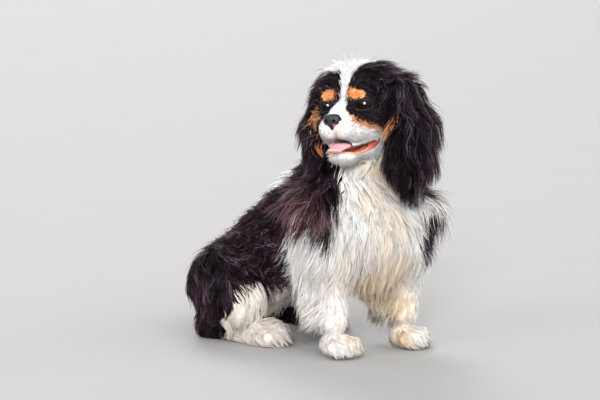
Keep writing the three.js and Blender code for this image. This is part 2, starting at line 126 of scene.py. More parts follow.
class Form:
    """Flesh from a to b, with a radius at each end, under a coat of some depth and length of hair."""

    def __init__(self, part, a, b, ra, rb, coat=0, hair=8, wide=1, side=(1, 0, 0), blend=14, lie="body"):
        self.part, self.a, self.b = part, np.array(a, float), np.array(b, float)
        self.ra, self.rb, self.coat, self.hair = ra, rb, coat, hair
        self.wide, self.side, self.blend, self.lie = wide, np.array(side, float), blend, lie


TORSO = {
    "pelvis": (-36, 118, 78), "loin": (-24, 60, 128), "ribs": (-4, -6, 174),
    "chest": (10, -64, 188), "sternum": (14, -96, 164), "brisket": (16, -104, 118),
    "withers": (2, -30, 218), "neck_base": (12, -62, 236),
}
LEGS = {
    "right": {
        "shoulder": (-42, -62, 190), "mane": (-52, -70, 182), "elbow": (-46, -84, 130),
        "wrist": (-54, -104, 46), "paw": (-54, -114, 15), "paw_way": (-0.12, -1, 0),
        "hip": (-83, 100, 78), "knee": (-104, 50, 62), "hock": (-112, 104, 17), "toes": (-80, -4, 14),
    },
    "left": {
        "shoulder": (80, -88, 192), "mane": (106, -110, 184), "elbow": (74, -108, 130),
        "wrist": (64, -124, 46), "paw": (62, -132, 15), "paw_way": (0.1, -1, 0),
        "hip": (14, 126, 78), "knee": (50, 74, 60), "hock": (40, 138, 17), "toes": (60, 28, 14),
    },
}
LEGS = {side: {name: np.array(place, float) for name, place in leg.items()} for side, leg in LEGS.items()}
TAIL_LINE = np.array((
    (-40, 166, 52), (-20, 192, 26), (24, 202, 18), (68, 186, 16), (98, 150, 16), (108, 108, 14),
), float)
TOES = (-1.5, -0.5, 0.5, 1.5)
EARS = {"left": (1, 75, -4, (15, 22, 25)), "right": (-1, 62, 8, (15, 14, 17))}


def toe_tips(paw, way, radius):
    """The middle of each toe of a foot that points along way."""
    across = np.array((-way[1], way[0], 0))
    return [paw + way * (20 - 3.5 * abs(n)) + across * (n * radius * 1.15) for n in TOES]


def unit(v):
    return np.asarray(v, float) / np.linalg.norm(v)


def units(vectors):
    """Each vector of an array at length 1."""
    return vectors / np.maximum(np.linalg.norm(vectors, axis=-1), 1e-9)[..., None]


def feet_of(leg):
    """The fore and the hind foot of one side, each with its place, the way it points and its toes' radius."""
    hind_way = unit((leg["toes"] - leg["hock"]) * (1, 1, 0))
    return {
        "forepaw": (leg["paw"], unit(leg["paw_way"]), 9.5),
        "hindfoot": (leg["toes"] - 14 * hind_way, hind_way, 8.5),
    }


def paw_forms(part, paw, way, toe, coat):
    across = (-way[1], way[0], 0)
    forms = [Form(part, paw - 8 * way, paw + 6 * way, 15, 14, coat, 9, 1.3, across, 8, lie=part)]
    for tip in toe_tips(paw, way, toe):
        forms.append(Form(part, tip, tip, toe, toe, coat, 7, blend=5, lie=part))
    return forms


def body_forms():
    t, h = TORSO, head_point
    forms = [
        Form("torso", t["pelvis"], t["loin"], 60, 52, 15, 46),
        Form("torso", t["loin"], t["ribs"], 52, 58, 16, 44, blend=20),
        Form("torso", t["ribs"], t["chest"], 60, 58, 22, 48, 1.1, blend=20),
        Form("torso", t["chest"], t["sternum"], 56, 46, 26, 56, 1.15, blend=20),
        Form("torso", t["sternum"], t["brisket"], 30, 16, 24, 58, 1.1, blend=20),
        Form("torso", t["ribs"], t["withers"], 44, 34, 16, 44, blend=24),
        Form("head", h(-20, 0, 8), h(6, 0, 12), 43, 41, 8, 20, 1.1, LEFTWARD, lie="head"),
        Form("head", h(20, -17, 14), h(20, 17, 14), 27, 27, 4, 12, lie="head"),
        Form("head", h(38, 0, -8), h(73, 0, -23), 20, 12, 1, 4, 1.15, LEFTWARD, 10, lie="head"),
        Form("neck", h(-26, 0, -46), t["neck_base"], 38, 50, 20, 50, lie="leg"),
        Form("jaw", h(14, 0, -62), h(58, 0, -70), 13, 9, 4, 8, 1.9, LEFTWARD, 8, lie="head"),
        Form("jaw", h(57, 0, -72), h(57, 0, -72), 8, 8, 5, 7, 1.7, LEFTWARD, 8, lie="head"),
    ]
    for s in BOTH_SIDES:
        forms += [
            Form("head", h(33, 22 * s, 13), h(33, 22 * s, 13), 14, 14, 3, 8, blend=8, lie="head"),
            Form("head", h(24, 34 * s, -14), h(-14, 38 * s, -12), 14, 15, 4, 14, lie="head"),
            Form("head", h(26, 27 * s, -38), h(58, 18 * s, -39), 15, 12, 3, 8, blend=8, lie="head"),
            Form("head", h(52, 13 * s, -30), h(72, 11 * s, -33), 16, 14, 2, 5, blend=6, lie="head"),
            Form("jaw", h(-14, 30 * s, -36), h(24, 22 * s, -58), 15, 11, 4, 14, lie="head"),
            Form("jaw", h(24, 24 * s, -54), h(52, 14 * s, -62), 9, 7, 2, 6, blend=8, lie="head"),
        ]
    for side, (s, out, reach, coats) in EARS.items():
        line = [
            h(-8, 36 * s, 34), h(-10, (out - 10) * s, 8),
            h(reach - 6, out * s, -38), h(reach, (out - 5) * s, -92),
        ]
        radii, hair = (8, 10, 12, 11), (40, 62, 66)
        for i in range(3):
            limb = (line[i], line[i + 1], radii[i], radii[i + 1])
            forms.append(Form("ear_" + side, *limb, coats[i], hair[i], 1.7, FORWARD, lie="ear"))
    for side, leg in LEGS.items():
        feet = feet_of(leg)
        part = "foreleg_" + side
        forms += [
            Form(part, leg["shoulder"], leg["elbow"], 36, 26, 22, 46, lie="leg"),
            Form(part, leg["shoulder"], leg["mane"], 32, 16, 36, 58, blend=20, lie="leg"),
            Form(part, leg["elbow"], leg["wrist"], 23, 15, 6, 18, lie="leg"),
            Form(
                part, leg["elbow"] + (-10, 38, 0), leg["wrist"] + (-14, 34, 4), 8, 6, 18, 48,
                blend=26, lie="feather",
            ),
        ]
        forms += paw_forms("forepaw_" + side, *feet["forepaw"], 3)
        part = "thigh_" + side
        forms += [
            Form(part, leg["hip"], leg["knee"], 52, 34, 15, 46, lie="thigh"),
            Form(part, leg["knee"], leg["hock"], 26, 18, 10, 40, lie="thigh"),
        ]
        part = "hindfoot_" + side
        forms.append(Form(part, leg["hock"], leg["toes"], 15, 13, 8, 26, blend=8, lie=part))
        forms += paw_forms(part, *feet["hindfoot"], 5)
    last = len(TAIL_LINE) - 1
    for i in range(last):
        radii = [13 - 7 * (i + k) / last for k in (0, 1)]
        depth = 12 + 12 * (i + 1) / last
        forms.append(Form("tail", TAIL_LINE[i], TAIL_LINE[i + 1], *radii, depth, 60, lie="tail"))
    return forms


FORMS = body_forms()
FORM_PARTS = np.array([form.part for form in FORMS])
PARTS = sorted(set(FORM_PARTS.tolist()))


def off_line(points, a, b):
    """How points lie off the line from a to b, and how far along it, from 0 to 1, each is nearest."""
    along = b - a
    length2 = along @ along
    off = points - a
    t = np.clip(off @ along / length2, 0, 1) if length2 else np.zeros(len(points))
    return off - t[:, None] * along, t


def distance(points, form, share):
    """How far points lie outside a form at a share of its coat's depth."""
    off, t = off_line(points, form.a, form.b)
    if form.wide != 1:
        off += np.outer(off @ form.side * (1 / form.wide - 1), form.side)
    return np.sqrt((off * off).sum(1)) - (form.ra + (form.rb - form.ra) * t) - form.coat * share


def blended(d, e, k):
    return np.minimum(d, e) - np.maximum(k - np.abs(d - e), 0) ** 2 / (4 * k)


def cut(d, e, k):
    """Takes the form e out of the form d."""
    return -blended(-d, e, k)


def body(points, share):
    """How far each point lies outside the body's surface at a share of its coat's depth."""
    d = np.full(len(points), 1e3)
    for form in FORMS:
        d = blended(d, distance(points, form, share), form.blend)
    return d


def capsule(q, a, b, ra, rb, flat=1.0):
    """The distance to a limb in the head's frame, flat times as high as it is broad."""
    off, t = off_line(q, np.array(a, float), np.array(b, float))
    off[:, 2] /= flat
    return np.sqrt((off * off).sum(1)) - (ra + (rb - ra) * t)


def eye_place(s):
    """The centre of the left (1) or the right (-1) eye in the head's frame."""
    return EYE_PLACE * (1, s, 1)


def eye_distance(q, s):
    return np.linalg.norm(q - eye_place(s), axis=1)


def lid_opening(q, s):
    """Below zero in the gap between the lids of one eye."""
    e = (q - eye_place(s)) @ turned_about("Z", GAZE_OUT * s) - LID_SHIFT * (1, s, 1)
    opening = math.radians(LID_ANGLE)
    return np.abs(e[:, 2]) * math.cos(opening) - (e[:, 0] - LID_CORNER) * math.sin(opening)


# The gap between the lips on one side, from its corner to the front: forward, left, up and half its height.
LIP_LINE = (
    (20, 41, -50.5, 1.8), (29, 38, -55, 3.2), (42, 31, -60.5, 4.4),
    (56, 23, -64, 4.0), (67, 13, -62, 3.2), (75, 0, -56.5, 3.4),
)


def mouth_opening(q):
    """Below zero in the gap between the lips and in the mouth behind it."""
    d = capsule(q, (28, 0, -57), (62, 0, -57), 12, 14, 0.32)
    for s in BOTH_SIDES:
        for inwards in (1.0, 0.75, 0.5):
            line = [(f * (1 - 0.06 * (1 - inwards)), left * s * inwards, u) for f, left, u, _ in LIP_LINE]
            for i in range(len(line) - 1):
                d = np.minimum(d, capsule(q, line[i], line[i + 1], LIP_LINE[i][3], LIP_LINE[i + 1][3]))
    return d


def below_lips(q):
    """Whether points of the head lie on the lower lip's side of the mouth."""
    f, _, u, _ = np.array(LIP_LINE).T
    return q[:, 2] < np.interp(q[:, 0], f, u)


def face_details(points, d):
    """The body's surface with lids, mouth and the groove under the nose worked into the head."""
    near = np.linalg.norm(points - SKULL_CENTRE, axis=1) < FACE_REACH
    if not near.any():
        return d
    q, f = to_head(points[near]), d[near]
    for s in BOTH_SIDES:
        lid = eye_distance(q, s) - EYE_RADIUS - LID_THICKNESS
        f = blended(f, lid, 5)
        f = cut(f, np.maximum(lid_opening(q, s), lid - 3), 1.2)
    f = cut(f, mouth_opening(q), 2)
    f = cut(f, capsule(q, (90, 0, -30), (84, 0, -50), 2.4, 3.0), 2.5)
    d = d.copy()
    d[near] = f
    return d


def gradient(field, points):
    """The way in which a field grows fastest, at length 1."""
    steps = np.eye(3) * 0.25
    return units(np.stack([field(points + step) - field(points - step) for step in steps], 1))


def seated(field, points, rounds=3):
    """Points moved on to the surface where the field is zero."""
    for _ in range(rounds):
        points = points - gradient(field, points) * np.clip(field(points), -4, 4)[:, None]
    return points


# ---------------------------------------------------------------- meshes
def surface_nets(lowest, step, values):
    """The closed surface where a grid of values crosses zero: points, and quads that face outwards."""
    inside = values < 0
    shape = np.array(values.shape) - 1
    total = np.zeros(shape, np.int8)
    corners = [(i, j, k) for i in (0, 1) for j in (0, 1) for k in (0, 1)]
    part = {c: tuple(slice(c[a], c[a] + shape[a]) for a in range(3)) for c in corners}
    for c in corners:
        total += inside[part[c]]
    cells = np.argwhere((total > 0) & (total < 8))
    number = np.full(shape, -1, np.int64)
    number[tuple(cells.T)] = np.arange(len(cells))
    place, count = np.zeros((len(cells), 3)), np.zeros(len(cells))
    for c in corners:
        for axis in range(3):
            if c[axis]:
                continue
            d = list(c)
            d[axis] = 1
            a, b = values[tuple((cells + c).T)], values[tuple((cells + d).T)]
            crossing = (a < 0) != (b < 0)
            share = np.where(crossing, a / np.where(crossing, a - b, 1), 0)
            spot = np.array(c, float)[None] + share[:, None] * np.eye(3)[axis]
            place += spot * crossing[:, None]
            count += crossing
    points = lowest + step * (cells + place / count[:, None])
    quads = []
    for axis in range(3):
        u, v = (axis + 1) % 3, (axis + 2) % 3
        low = [slice(1, -1)] * 3
        low[axis] = slice(0, -1)
        high = list(low)
        high[axis] = slice(1, None)
        a, b = inside[tuple(low)], inside[tuple(high)]
        for rising in (True, False):
            found = np.argwhere((a != b) & (a == rising))
            found += np.array([0 if i == axis else 1 for i in range(3)])
            du, dv = np.eye(3, dtype=int)[u], np.eye(3, dtype=int)[v]
            ring = [found - du - dv, found - dv, found, found - du]
            quad = np.stack([number[tuple(r.T)] for r in ring], 1)
            quads.append(quad if rising else quad[:, ::-1])
    return points, np.concatenate(quads)


def triangles_of(points, quads):
    """Each quad cut along its shorter diagonal."""
    p = points[quads]
    first = np.linalg.norm(p[:, 0] - p[:, 2], axis=1) <= np.linalg.norm(p[:, 1] - p[:, 3], axis=1)
    a, b = quads[first], quads[~first]
    return np.concatenate([a[:, (0, 1, 2)], a[:, (0, 2, 3)], b[:, (0, 1, 3)], b[:, (1, 2, 3)]])


def split_edges(points, triangles, wanted):
    """Triangles with every wanted edge halved, and no cracks where finer meets coarser."""
    pairs = np.sort(triangles[:, ((0, 1), (1, 2), (2, 0))].reshape(-1, 2), axis=1)
    edges, inverse = np.unique(pairs, axis=0, return_inverse=True)
    middle = points[edges].mean(1)
    marked = wanted(middle)
    new = np.full(len(edges), -1)
    new[marked] = len(points) + np.arange(marked.sum())
    points = np.concatenate([points, middle[marked]])
    m = new[inverse.reshape(-1, 3)]
    halved = (m >= 0).sum(1)
    out = [triangles[halved == 0]]
    for count, first in ((1, lambda r: r[:, 0] >= 0), (2, lambda r: r[:, 2] < 0)):
        t, k = triangles[halved == count], m[halved == count]
        for turn in range(3):
            tt, kk = np.roll(t, -turn, 1), np.roll(k, -turn, 1)
            ok = first(kk)
            (a, b, c), (d, e, _) = tt[ok].T, kk[ok].T
            if count == 1:
                out += [np.stack([a, d, c], 1), np.stack([d, b, c], 1)]
            else:
                out += [np.stack([d, b, e], 1), np.stack([a, d, e], 1), np.stack([a, e, c], 1)]
    (a, b, c), (d, e, f) = triangles[halved == 3].T, m[halved == 3].T
    out += [np.stack(t, 1) for t in ((a, d, f), (d, b, e), (f, e, c), (d, e, f))]
    return points, np.concatenate(out)


def new_mesh(name, points, faces, corners=3):
    """A smooth mesh from points in metres and faces of one number of corners."""
    mesh = bpy.data.meshes.new(name)
    mesh.vertices.add(len(points))
    mesh.vertices.foreach_set("co", np.ascontiguousarray(points, np.float32).ravel())
    mesh.loops.add(faces.size)
    mesh.loops.foreach_set("vertex_index", np.ascontiguousarray(faces, np.int32).ravel())
    mesh.polygons.add(len(faces))
    mesh.polygons.foreach_set("loop_start", np.arange(len(faces), dtype=np.int32) * corners)
    mesh.update(calc_edges=True)
    mesh.shade_smooth()
    return mesh


def placed(name, data):
    """A new object in the scene."""
    made = bpy.data.objects.new(name, data)
    bpy.context.scene.collection.objects.link(made)
    return made


def new_object(name, mesh, material):
    mesh.materials.append(material)
    return placed(name, mesh)


def store(mesh, name, values, kind="FLOAT", domain="POINT"):
    attribute = mesh.attributes.new(name, kind, domain)
    field = {"FLOAT": "value", "FLOAT_COLOR": "color", "FLOAT_VECTOR": "vector"}[kind]
    if kind == "FLOAT_COLOR" and values.shape[1] == 3:
        values = np.concatenate([values, np.ones((len(values), 1))], 1)
    attribute.data.foreach_set(field, np.ascontiguousarray(values, np.float32).ravel())


def store_uv(mesh, name, places):
    """A new UV map from a place for each corner of the mesh."""
    layer = mesh.uv_layers.new(name=name)
    layer.data.foreach_set("uv", places.astype(np.float32).ravel())


def finish_piece(piece, slot, *nodes):
    """Says what carries the piece and hides the nodes it stands for; the slot is not used."""
    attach(piece, "root")
    if nodes:
        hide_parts(*nodes)


# ---------------------------------------------------------------- lie, length and colour of the coat
def ramp(x, low, high):
    """Rises smoothly from 0 to 1 between low and high."""
    t = np.clip((x - low) / (high - low), 0, 1)
    return t * t * (3 - 2 * t)


def bell(x, middle, width):
    """Falls smoothly from 1 at the middle to nothing, a few widths away."""
    return np.exp(-(((x - middle) / width) ** 2))


WAVES_SUMMED, WAVES_HEIGHT = 7, 3.2


def waves(points, size, seed):
    """A smooth random field from about -1 to 1, whose bumps are about size across."""
    random = np.random.default_rng(seed)
    total = np.zeros(len(points))
    for _ in range(WAVES_SUMMED):
        way = unit(random.normal(size=3)) * (2 * math.pi / size) * random.uniform(0.6, 1.5)
        total += np.sin(points @ way + random.uniform(0, 2 * math.pi))
    return total / WAVES_HEIGHT


# The share of the coat's depth at which forms are told apart, and the millimetres over which they fade.
PARTS_DEPTH, PARTS_FADE = 0.3, 5


def nearest_parts(points):
    """For each point, the weight of every form there, and the number of the nearest form."""
    d = np.stack([distance(points, form, PARTS_DEPTH) for form in FORMS], 1)
    w = np.exp(-(d - d.min(1, keepdims=True)) / PARTS_FADE)
    return w / w.sum(1, keepdims=True), d.argmin(1)


STEADY_LIES = {"leg": (0.0, 0.25, -1.0), "feather": (0.0, 0.7, -0.9)}


def lie_of(kind, points):
    """Which way the hair of one kind of place points."""
    n = len(points)
    if kind == "body":
        behind = ramp(points[:, 1], -90, 10)
        return np.stack([np.zeros(n), 0.05 + 0.95 * behind, np.full(n, -0.75)], 1)
    if kind == "thigh":
        ahead = ramp(points[:, 2], 30, 95)
        return np.stack([np.zeros(n), 0.25 - 0.95 * ahead, np.full(n, -0.85)], 1)
    if kind == "ear":
        f, left, up = to_head(points).T
        forward = -0.08 + 0.8 * ramp(f, 26, 44) * (left > 0)
        outward = np.sign(left) * 0.6 * ramp(up, 0, 25)
        return np.stack([forward, outward, -np.ones(n)], 1) @ HEAD_AXES.T
    if kind == "head":
        return head_lie(to_head(points)) @ HEAD_AXES.T
    if kind == "tail":
        middles = (TAIL_LINE[1:] + TAIL_LINE[:-1]) / 2
        w = np.exp(-np.linalg.norm(points[:, None] - middles, axis=2) / 12)
        return (w[:, :, None] * units(np.diff(TAIL_LINE, axis=0))).sum(1) / w.sum(1)[:, None]
    if kind in STEADY_LIES:
        return np.tile(STEADY_LIES[kind], (n, 1))
    limb, side = kind.split("_")
    return np.tile(feet_of(LEGS[side])[limb][1] + (0, 0, -0.6), (n, 1))


def head_lie(q):
    """Which way the head's hair points, in its own frame: back from the nose, then out and down."""
    f, left, up = q.T
    s, side = np.sign(left), np.abs(left)
    face = units(q - (100, 0, -22))
    parted = s * (0.15 + 0.95 * ramp(side, 3, 16) - 0.8 * ramp(side, 26, 42))
    crown = np.stack([np.full(len(q), -0.45), parted, 0.25 - 1.7 * ramp(side, 14, 44)], 1)
    cheek = np.stack([-0.35 + 0.5 * ramp(side, 42, 50), s * 0.15, np.full(len(q), -1.0)], 1)
    on_crown = ramp(up, 16, 34) * ramp(-f, -62, -34)
    on_cheek = ramp(side, 24, 44) * ramp(-f, -38, -10) * (1 - on_crown)
    shares = (1 - on_crown - on_cheek, on_crown, on_cheek)
    return sum(way * share[:, None] for way, share in zip((face, crown, cheek), shares))


LIES = sorted({form.lie for form in FORMS})


def lie_at(points, lie_weights):
    """Which way the hair points where several kinds of place meet."""
    total = np.zeros((len(points), 3))
    for i, kind in enumerate(LIES):
        w = lie_weights[:, i]
        some = w > 0.01
        if some.any():
            total[some] += lie_of(kind, points[some]) * w[some, None]
    return total


def settings():
    return bpy.context.scene.spaniel


def head_markings(q, noise):
    """The shares of white and of tan on the head, from points in its own frame."""
    f, left, up = q.T
    side = np.abs(left)
    middle = 4.0 * ramp(up, -12, 4)
    width = np.interp(up, (-14, -4, 6, 20, 36, 46, 56), (13, 8, 4.4, 4.6, 6.3, 11, 15)) + 0.5 * noise
    off = np.abs(left - middle)
    blaze = ramp(width - off, -1.2, 1.2) * ramp(f, -22, -8)
    fan = ramp(up - 47 - 2.5 * noise, -2, 2) * ramp(left, -42, -32) * ramp(-left, -17, -10) * ramp(f, -16, -4)
    edge = np.interp(side, (0, 5, 9, 13, 20, 29, 38, 46), (6, 0, -5, -9, -17, -27, -34, -38))
    edge = edge + 2.5 * (left < 0)
    muzzle = ramp(edge - up + 1.2 * noise, -1.5, 1.5) * ramp(f + 0.25 * up, -14, 4)
    white = np.maximum(np.maximum(blaze, muzzle), 0.9 * fan)
    spot = np.hypot((side - 21.5) / 12.0, (up - 14.5 + 0.18 * (side - 21)) / 7.0)
    tan = ramp(1.0 + 0.14 * noise - spot, -0.1, 0.14) * ramp(f, 34, 42) * (1 - blaze)
    thick = np.interp(side, (12, 20, 28, 36, 46), (0.4, 0.9, 1.8, 4.0, 6.0))
    cheek = ramp(up - edge + 1.5, -1.2, 1.2) * ramp(edge + thick - up + 1.5 * noise, -1.2, 1.2)
    cheek = cheek * ramp(side, 12, 17) * ramp(f, 4, 14)
    return white, np.maximum(tan, 0.95 * cheek * (1 - 0.7 * blaze))


# Tan strands by the front edge of each ear: a line through the head's frame, and how far from it they reach.
EAR_TAN = (
    (((36, 55, -24), (38, 57, -40), (43, 63, -52), (44, 66, -60)), 8.0),
    (((41, -57, -16), (47, -58, -34), (47, -56, -46)), 15.0),
)
STRAND_BROWN = (0.62, 0.36, 0.18)  # darker strands low on the chest


def white_and_tan(points, part, fine, broad, streak):
    """How white and how tan the coat is at points of the body, each with the name of its part."""
    x, y, z = points.T
    q = to_head(points)
    f, left, up = q.T
    whiteness, tanness = np.zeros(len(points)), np.zeros(len(points))
    for name in PARTS:
        own = part == name
        if name.startswith("ear") or not own.any():
            continue
        if name in ("head", "jaw"):
            w, tanness[own] = head_markings(q[own], fine[own])
            if name == "jaw":
                w = np.maximum(w, ramp(f[own], -12, 2))
            whiteness[own] = w * (1 - ramp(np.abs(left[own]) - 0.06 * up[own] + 1.5 * fine[own], 45, 49))
        elif name == "tail":
            whiteness[own] = ramp(x[own] + 3 * fine[own], 84, 92) * ramp(-y[own], -160, -140)
        elif name.startswith("forepaw"):
            whiteness[own] = 1
        elif name.startswith("hindfoot"):
            whiteness[own] = ramp(72 - y[own] + 3 * fine[own], -3, 3)
        elif name.startswith("thigh"):
            back = y[own] + 5 * fine[own] + 5 * broad[own]
            reach = np.interp(back, (5, 13, 21, 35, 50, 66), (100, 88, 54, 42, 26, -4))
            whiteness[own] = ramp(reach - z[own] + 4 * fine[own], -4, 4)
        else:
            whiteness[own] = body_white(points[own], name, fine[own], broad[own])
    for line, reach in EAR_TAN:
        off = np.min([capsule(q, a, b, 0, 0) for a, b in zip(line, line[1:])], axis=0)
        strands = ramp(reach + 1.5 * fine - off, 0, 2.5) * ramp(streak, -0.6, -0.1)
        tanness = np.maximum(tanness, strands * (whiteness < 0.5))
    return whiteness, tanness


def markings(points, part):
    """The coat's colour at points of the body, each with its part's name, and how white and how tan it is."""
    c = settings()
    black, white, cream, tan, brown_and_sheen = (np.array(v) for v in (c.black, c.white, c.cream, c.tan, c.brown_and_sheen))
    fine, broad, streak = waves(points, 9, 5), waves(points, 55, 6), waves(points * (1, 1, 0.35), 7, 8)
    whiteness, tanness = white_and_tan(points, part, fine, broad, streak)
    x, y, z = points.T
    face = (part == "head") | (part == "jaw")
    front = (y < -40) & ~face
    middle = bell(x, 12, 34) * ramp(-y, 70, 110)
    between = bell(x, 12, 44) * ramp(150 - z, -10, 50)
    warmth = front * np.clip(0.4 * middle + 0.95 * between + 0.28 * broad + 0.22 * streak + 0.16, 0, 1)
    warmth = np.maximum(warmth, 0.5 * (z < 22) * np.clip(0.5 + 0.6 * broad + 0.4 * fine, 0, 1))
    warmth = np.maximum(warmth, 0.45 * ramp(y, -30, -10) * ramp(120 - z, 0, 20))
    pale = white + (cream - white) * np.clip(warmth, 0, 1)[:, None]
    # Painted shade: the face's pale hair is dimmed by 8 % and the left foreleg's by 20 %, as if less light
    # fell there.
    pale *= (1 - 0.08 * face - 0.2 * (part == "foreleg_left"))[:, None]
    strands = 0.5 * front * bell(x, 12, 32) * ramp(118 - z, 0, 25) * ramp(streak, -0.2, 0.5)
    pale = pale + (np.array(STRAND_BROWN) - pale) * strands[:, None]
    on_ear = np.char.startswith(part.astype(str), "ear")
    # The right shoulder's black is tinted brown as painted sheen; the faint brown spread over the body is
    # sunburnt hair.
    shoulder = bell(x, -98, 26) * bell(y, -72, 42) * bell(z, 192, 42)
    body_hair = ~on_ear & (part != "head")
    faded = body_hair * (0.09 * ramp(broad, -0.3, 0.8) + 0.05 * streak)
    rust_and_sheen = np.clip(shoulder * (1 + 0.5 * streak) + faded, 0, 1.4)
    dark = black + (brown_and_sheen - black) * rust_and_sheen[:, None]
    colour = dark + (pale - dark) * whiteness[:, None]
    tan = tan * (1.08 + 0.16 * streak + 0.1 * fine - 0.25 * on_ear)[:, None]
    return colour + (tan - colour) * tanness[:, None], whiteness, tanness


def body_white(points, name, fine, broad):
    """How white torso, neck and forelegs are: a bib, the legs, belly and keel, and a patch at the withers."""
    x, y, z = points.T
    noise = 4 * fine + 3 * broad
    right_edge = np.interp(z, (155, 185, 216, 233, 260), (-68, -62, -49, -39, -36))
    left_edge = np.interp(z, (110, 150, 175, 186, 204, 214, 228, 262), (79, 78, 80, 118, 118, 84, 72, 60))
    left_edge = np.where(y < -128, left_edge, np.minimum(left_edge, 76))
    bib = ramp(x - right_edge + noise, -4, 4) * ramp(left_edge - x + noise, -4, 4)
    bib = bib * ramp(-y - 52 + noise, -8, 8)
    if name == "neck":
        return bib * ramp(-y, 62, 76)
    right_low = np.interp(y, (-118, -103, -90, -62, -40), (143, 149, 163, 163, 160))
    legs = np.where(x < 12, ramp(right_low - z + noise, -4, 4), ramp(116 - z + noise, -4, 4))
    if name.startswith("foreleg"):
        return np.maximum(bib, legs)
    legs = legs * ramp(-y - 48 + noise, -6, 6)
    belly = ramp(np.interp(y, (-60, -30, 10, 30, 60, 90), (150, 110, 86, 72, 50, 0)) - z + noise, -4, 4)
    keel = ramp(34 - np.abs(x + 5) + noise, -4, 4) * ramp(128 - z, 0, 10) * ramp(40 - y, 0, 20)
    withers = ramp(1 - np.hypot((x + 22) / 34, (y - 20) / 30) + 0.12 * fine, -0.12, 0.12) * ramp(z, 190, 205)
    return np.maximum.reduce([bib, legs, belly, keel, withers])


# ---------------------------------------------------------------- materials
class NodeTree:
    """A node tree, built a node at a time."""

    def __init__(self, tree):
        self.tree = tree

    def feed(self, socket, value):
        """Links the socket to another one, or sets it to a plain value."""
        if isinstance(value, bpy.types.NodeSocket):
            self.tree.links.new(value, socket)
        else:
            socket.default_value = value

    def node(self, kind, sockets=(), **properties):
        """A new node, with its properties set and its sockets fed, each by name or number."""
        made = self.tree.nodes.new(kind)
        for key, value in properties.items():
            setattr(made, key, value)
        for key, value in dict(sockets).items():
            self.feed(made.inputs[key], value)
        return made

    def math(self, operation, *values):
        return self.node("ShaderNodeMath", enumerate(values), operation=operation).outputs[0]


class Shader(NodeTree):
    """A material's node tree round its one surface shader."""

    def __init__(self, name):
        self.material = bpy.data.materials.new(name)
        self.material.use_nodes = True
        super().__init__(self.material.node_tree)
        self.surface = self.tree.nodes["Principled BSDF"]

    def mixed(self, factor, a, b, blend="MIX"):
        sockets = {0: factor, 6: a, 7: b}
        return self.node("ShaderNodeMix", sockets, data_type="RGBA", blend_type=blend).outputs[2]

    def noise(self, place, scale, detail=3.0):
        sockets = {"Vector": place, "Scale": scale, "Detail": detail, "Roughness": 0.6}
        return self.node("ShaderNodeTexNoise", sockets).outputs["Fac"]

    def cells(self, place, scale):
        return self.node("ShaderNodeTexVoronoi", {"Vector": place, "Scale": scale}).outputs["Distance"]

    def place(self):
        return self.node("ShaderNodeTexCoord").outputs["Object"]

    def attribute(self, name, output="Color"):
        return self.node("ShaderNodeAttribute", attribute_name=name).outputs[output]

    def base(self, **values):
        """Feeds sockets of the surface shader by name."""
        for key, value in values.items():
            self.feed(self.surface.inputs[key.replace("_", " ")], value)

    def bump(self, height, strength, distance):
        sockets = {"Height": height, "Strength": strength, "Distance": distance}
        self.base(Normal=self.node("ShaderNodeBump", sockets).outputs[0])


def toned(colour, gain=1.0):
    """A colour with its channels multiplied, and full alpha."""
    return (*(np.array(colour) * gain).tolist(), 1.0)


def coat_material():
    """Tufts: each has its own colour, streaked along its length like the hairs in it."""
    s = Shader("spaniel_coat")
    uv = s.node("ShaderNodeUVMap", uv_map="Strand").outputs[0]
    streak = s.noise(s.node("ShaderNodeMapping", {"Vector": uv, "Scale": (9, 0.7, 1)}).outputs[0], 1.0, 2.0)
    tone = s.math("MULTIPLY_ADD", streak, 0.7, 0.65)
    s.base(
        Base_Color=s.mixed(1.0, s.attribute("tint"), tone, "MULTIPLY"), Roughness=0.4,
        Specular_IOR_Level=0.05, Subsurface_Weight=0.5, Subsurface_Radius=(1.0, 0.85, 0.7),
        Subsurface_Scale=0.004,
    )
    s.bump(streak, 0.35, 0.0006)
    return s.material


def skin_material():
    """Skin under the coat: the coat's own markings, and bare wet skin at lips and lids."""
    s = Shader("spaniel_skin")
    place = s.place()
    fuzz, pores = s.noise(place, 900), s.noise(place, 350, 4.0)
    tone = s.math("MULTIPLY_ADD", fuzz, 0.6, 0.7)
    s.base(
        Base_Color=s.mixed(1.0, s.attribute("tint"), tone, "MULTIPLY"),
        Roughness=s.math("MULTIPLY_ADD", s.attribute("bare", "Fac"), -0.35, 0.7),
        Specular_IOR_Level=0.25, Subsurface_Weight=0.08, Subsurface_Scale=0.004,
    )
    s.bump(s.math("ADD", s.math("MULTIPLY", fuzz, 0.6), pores), 0.5, 0.0008)
    return s.material


def eye_material():
    """A dark brown iris round a black pupil, a darker rim, and a clear wet front."""
    s = Shader("spaniel_eye")
    iris = settings().iris
    stripes = s.math("MULTIPLY", s.noise(s.place(), 700, 4.0), 3.0)
    ring = s.math("ADD", s.attribute("gaze_angle", "Fac"), stripes)
    rings = s.node("ShaderNodeValToRGB", {0: s.math("DIVIDE", ring, 90.0)})
    stops = (
        (0.0, toned((0.001, 0.001, 0.001))), (0.22, toned((0.001, 0.001, 0.001))), (0.27, toned(iris)),
        (0.44, toned(iris, 1.7)), (0.54, toned(iris, 0.2)), (0.66, toned((0.012, 0.006, 0.004))),
        (0.85, toned((0.2, 0.14, 0.12))),
    )
    elements = rings.color_ramp.elements
    while len(elements) < len(stops):
        elements.new(0.5)
    for element, (position, colour) in zip(elements, stops):
        element.position, element.color = position, colour
    s.base(
        Base_Color=rings.outputs[0], Roughness=0.4, Specular_IOR_Level=0.0,
        Coat_Weight=0.35, Coat_Roughness=0.04, Coat_IOR=1.45,
    )
    return s.material


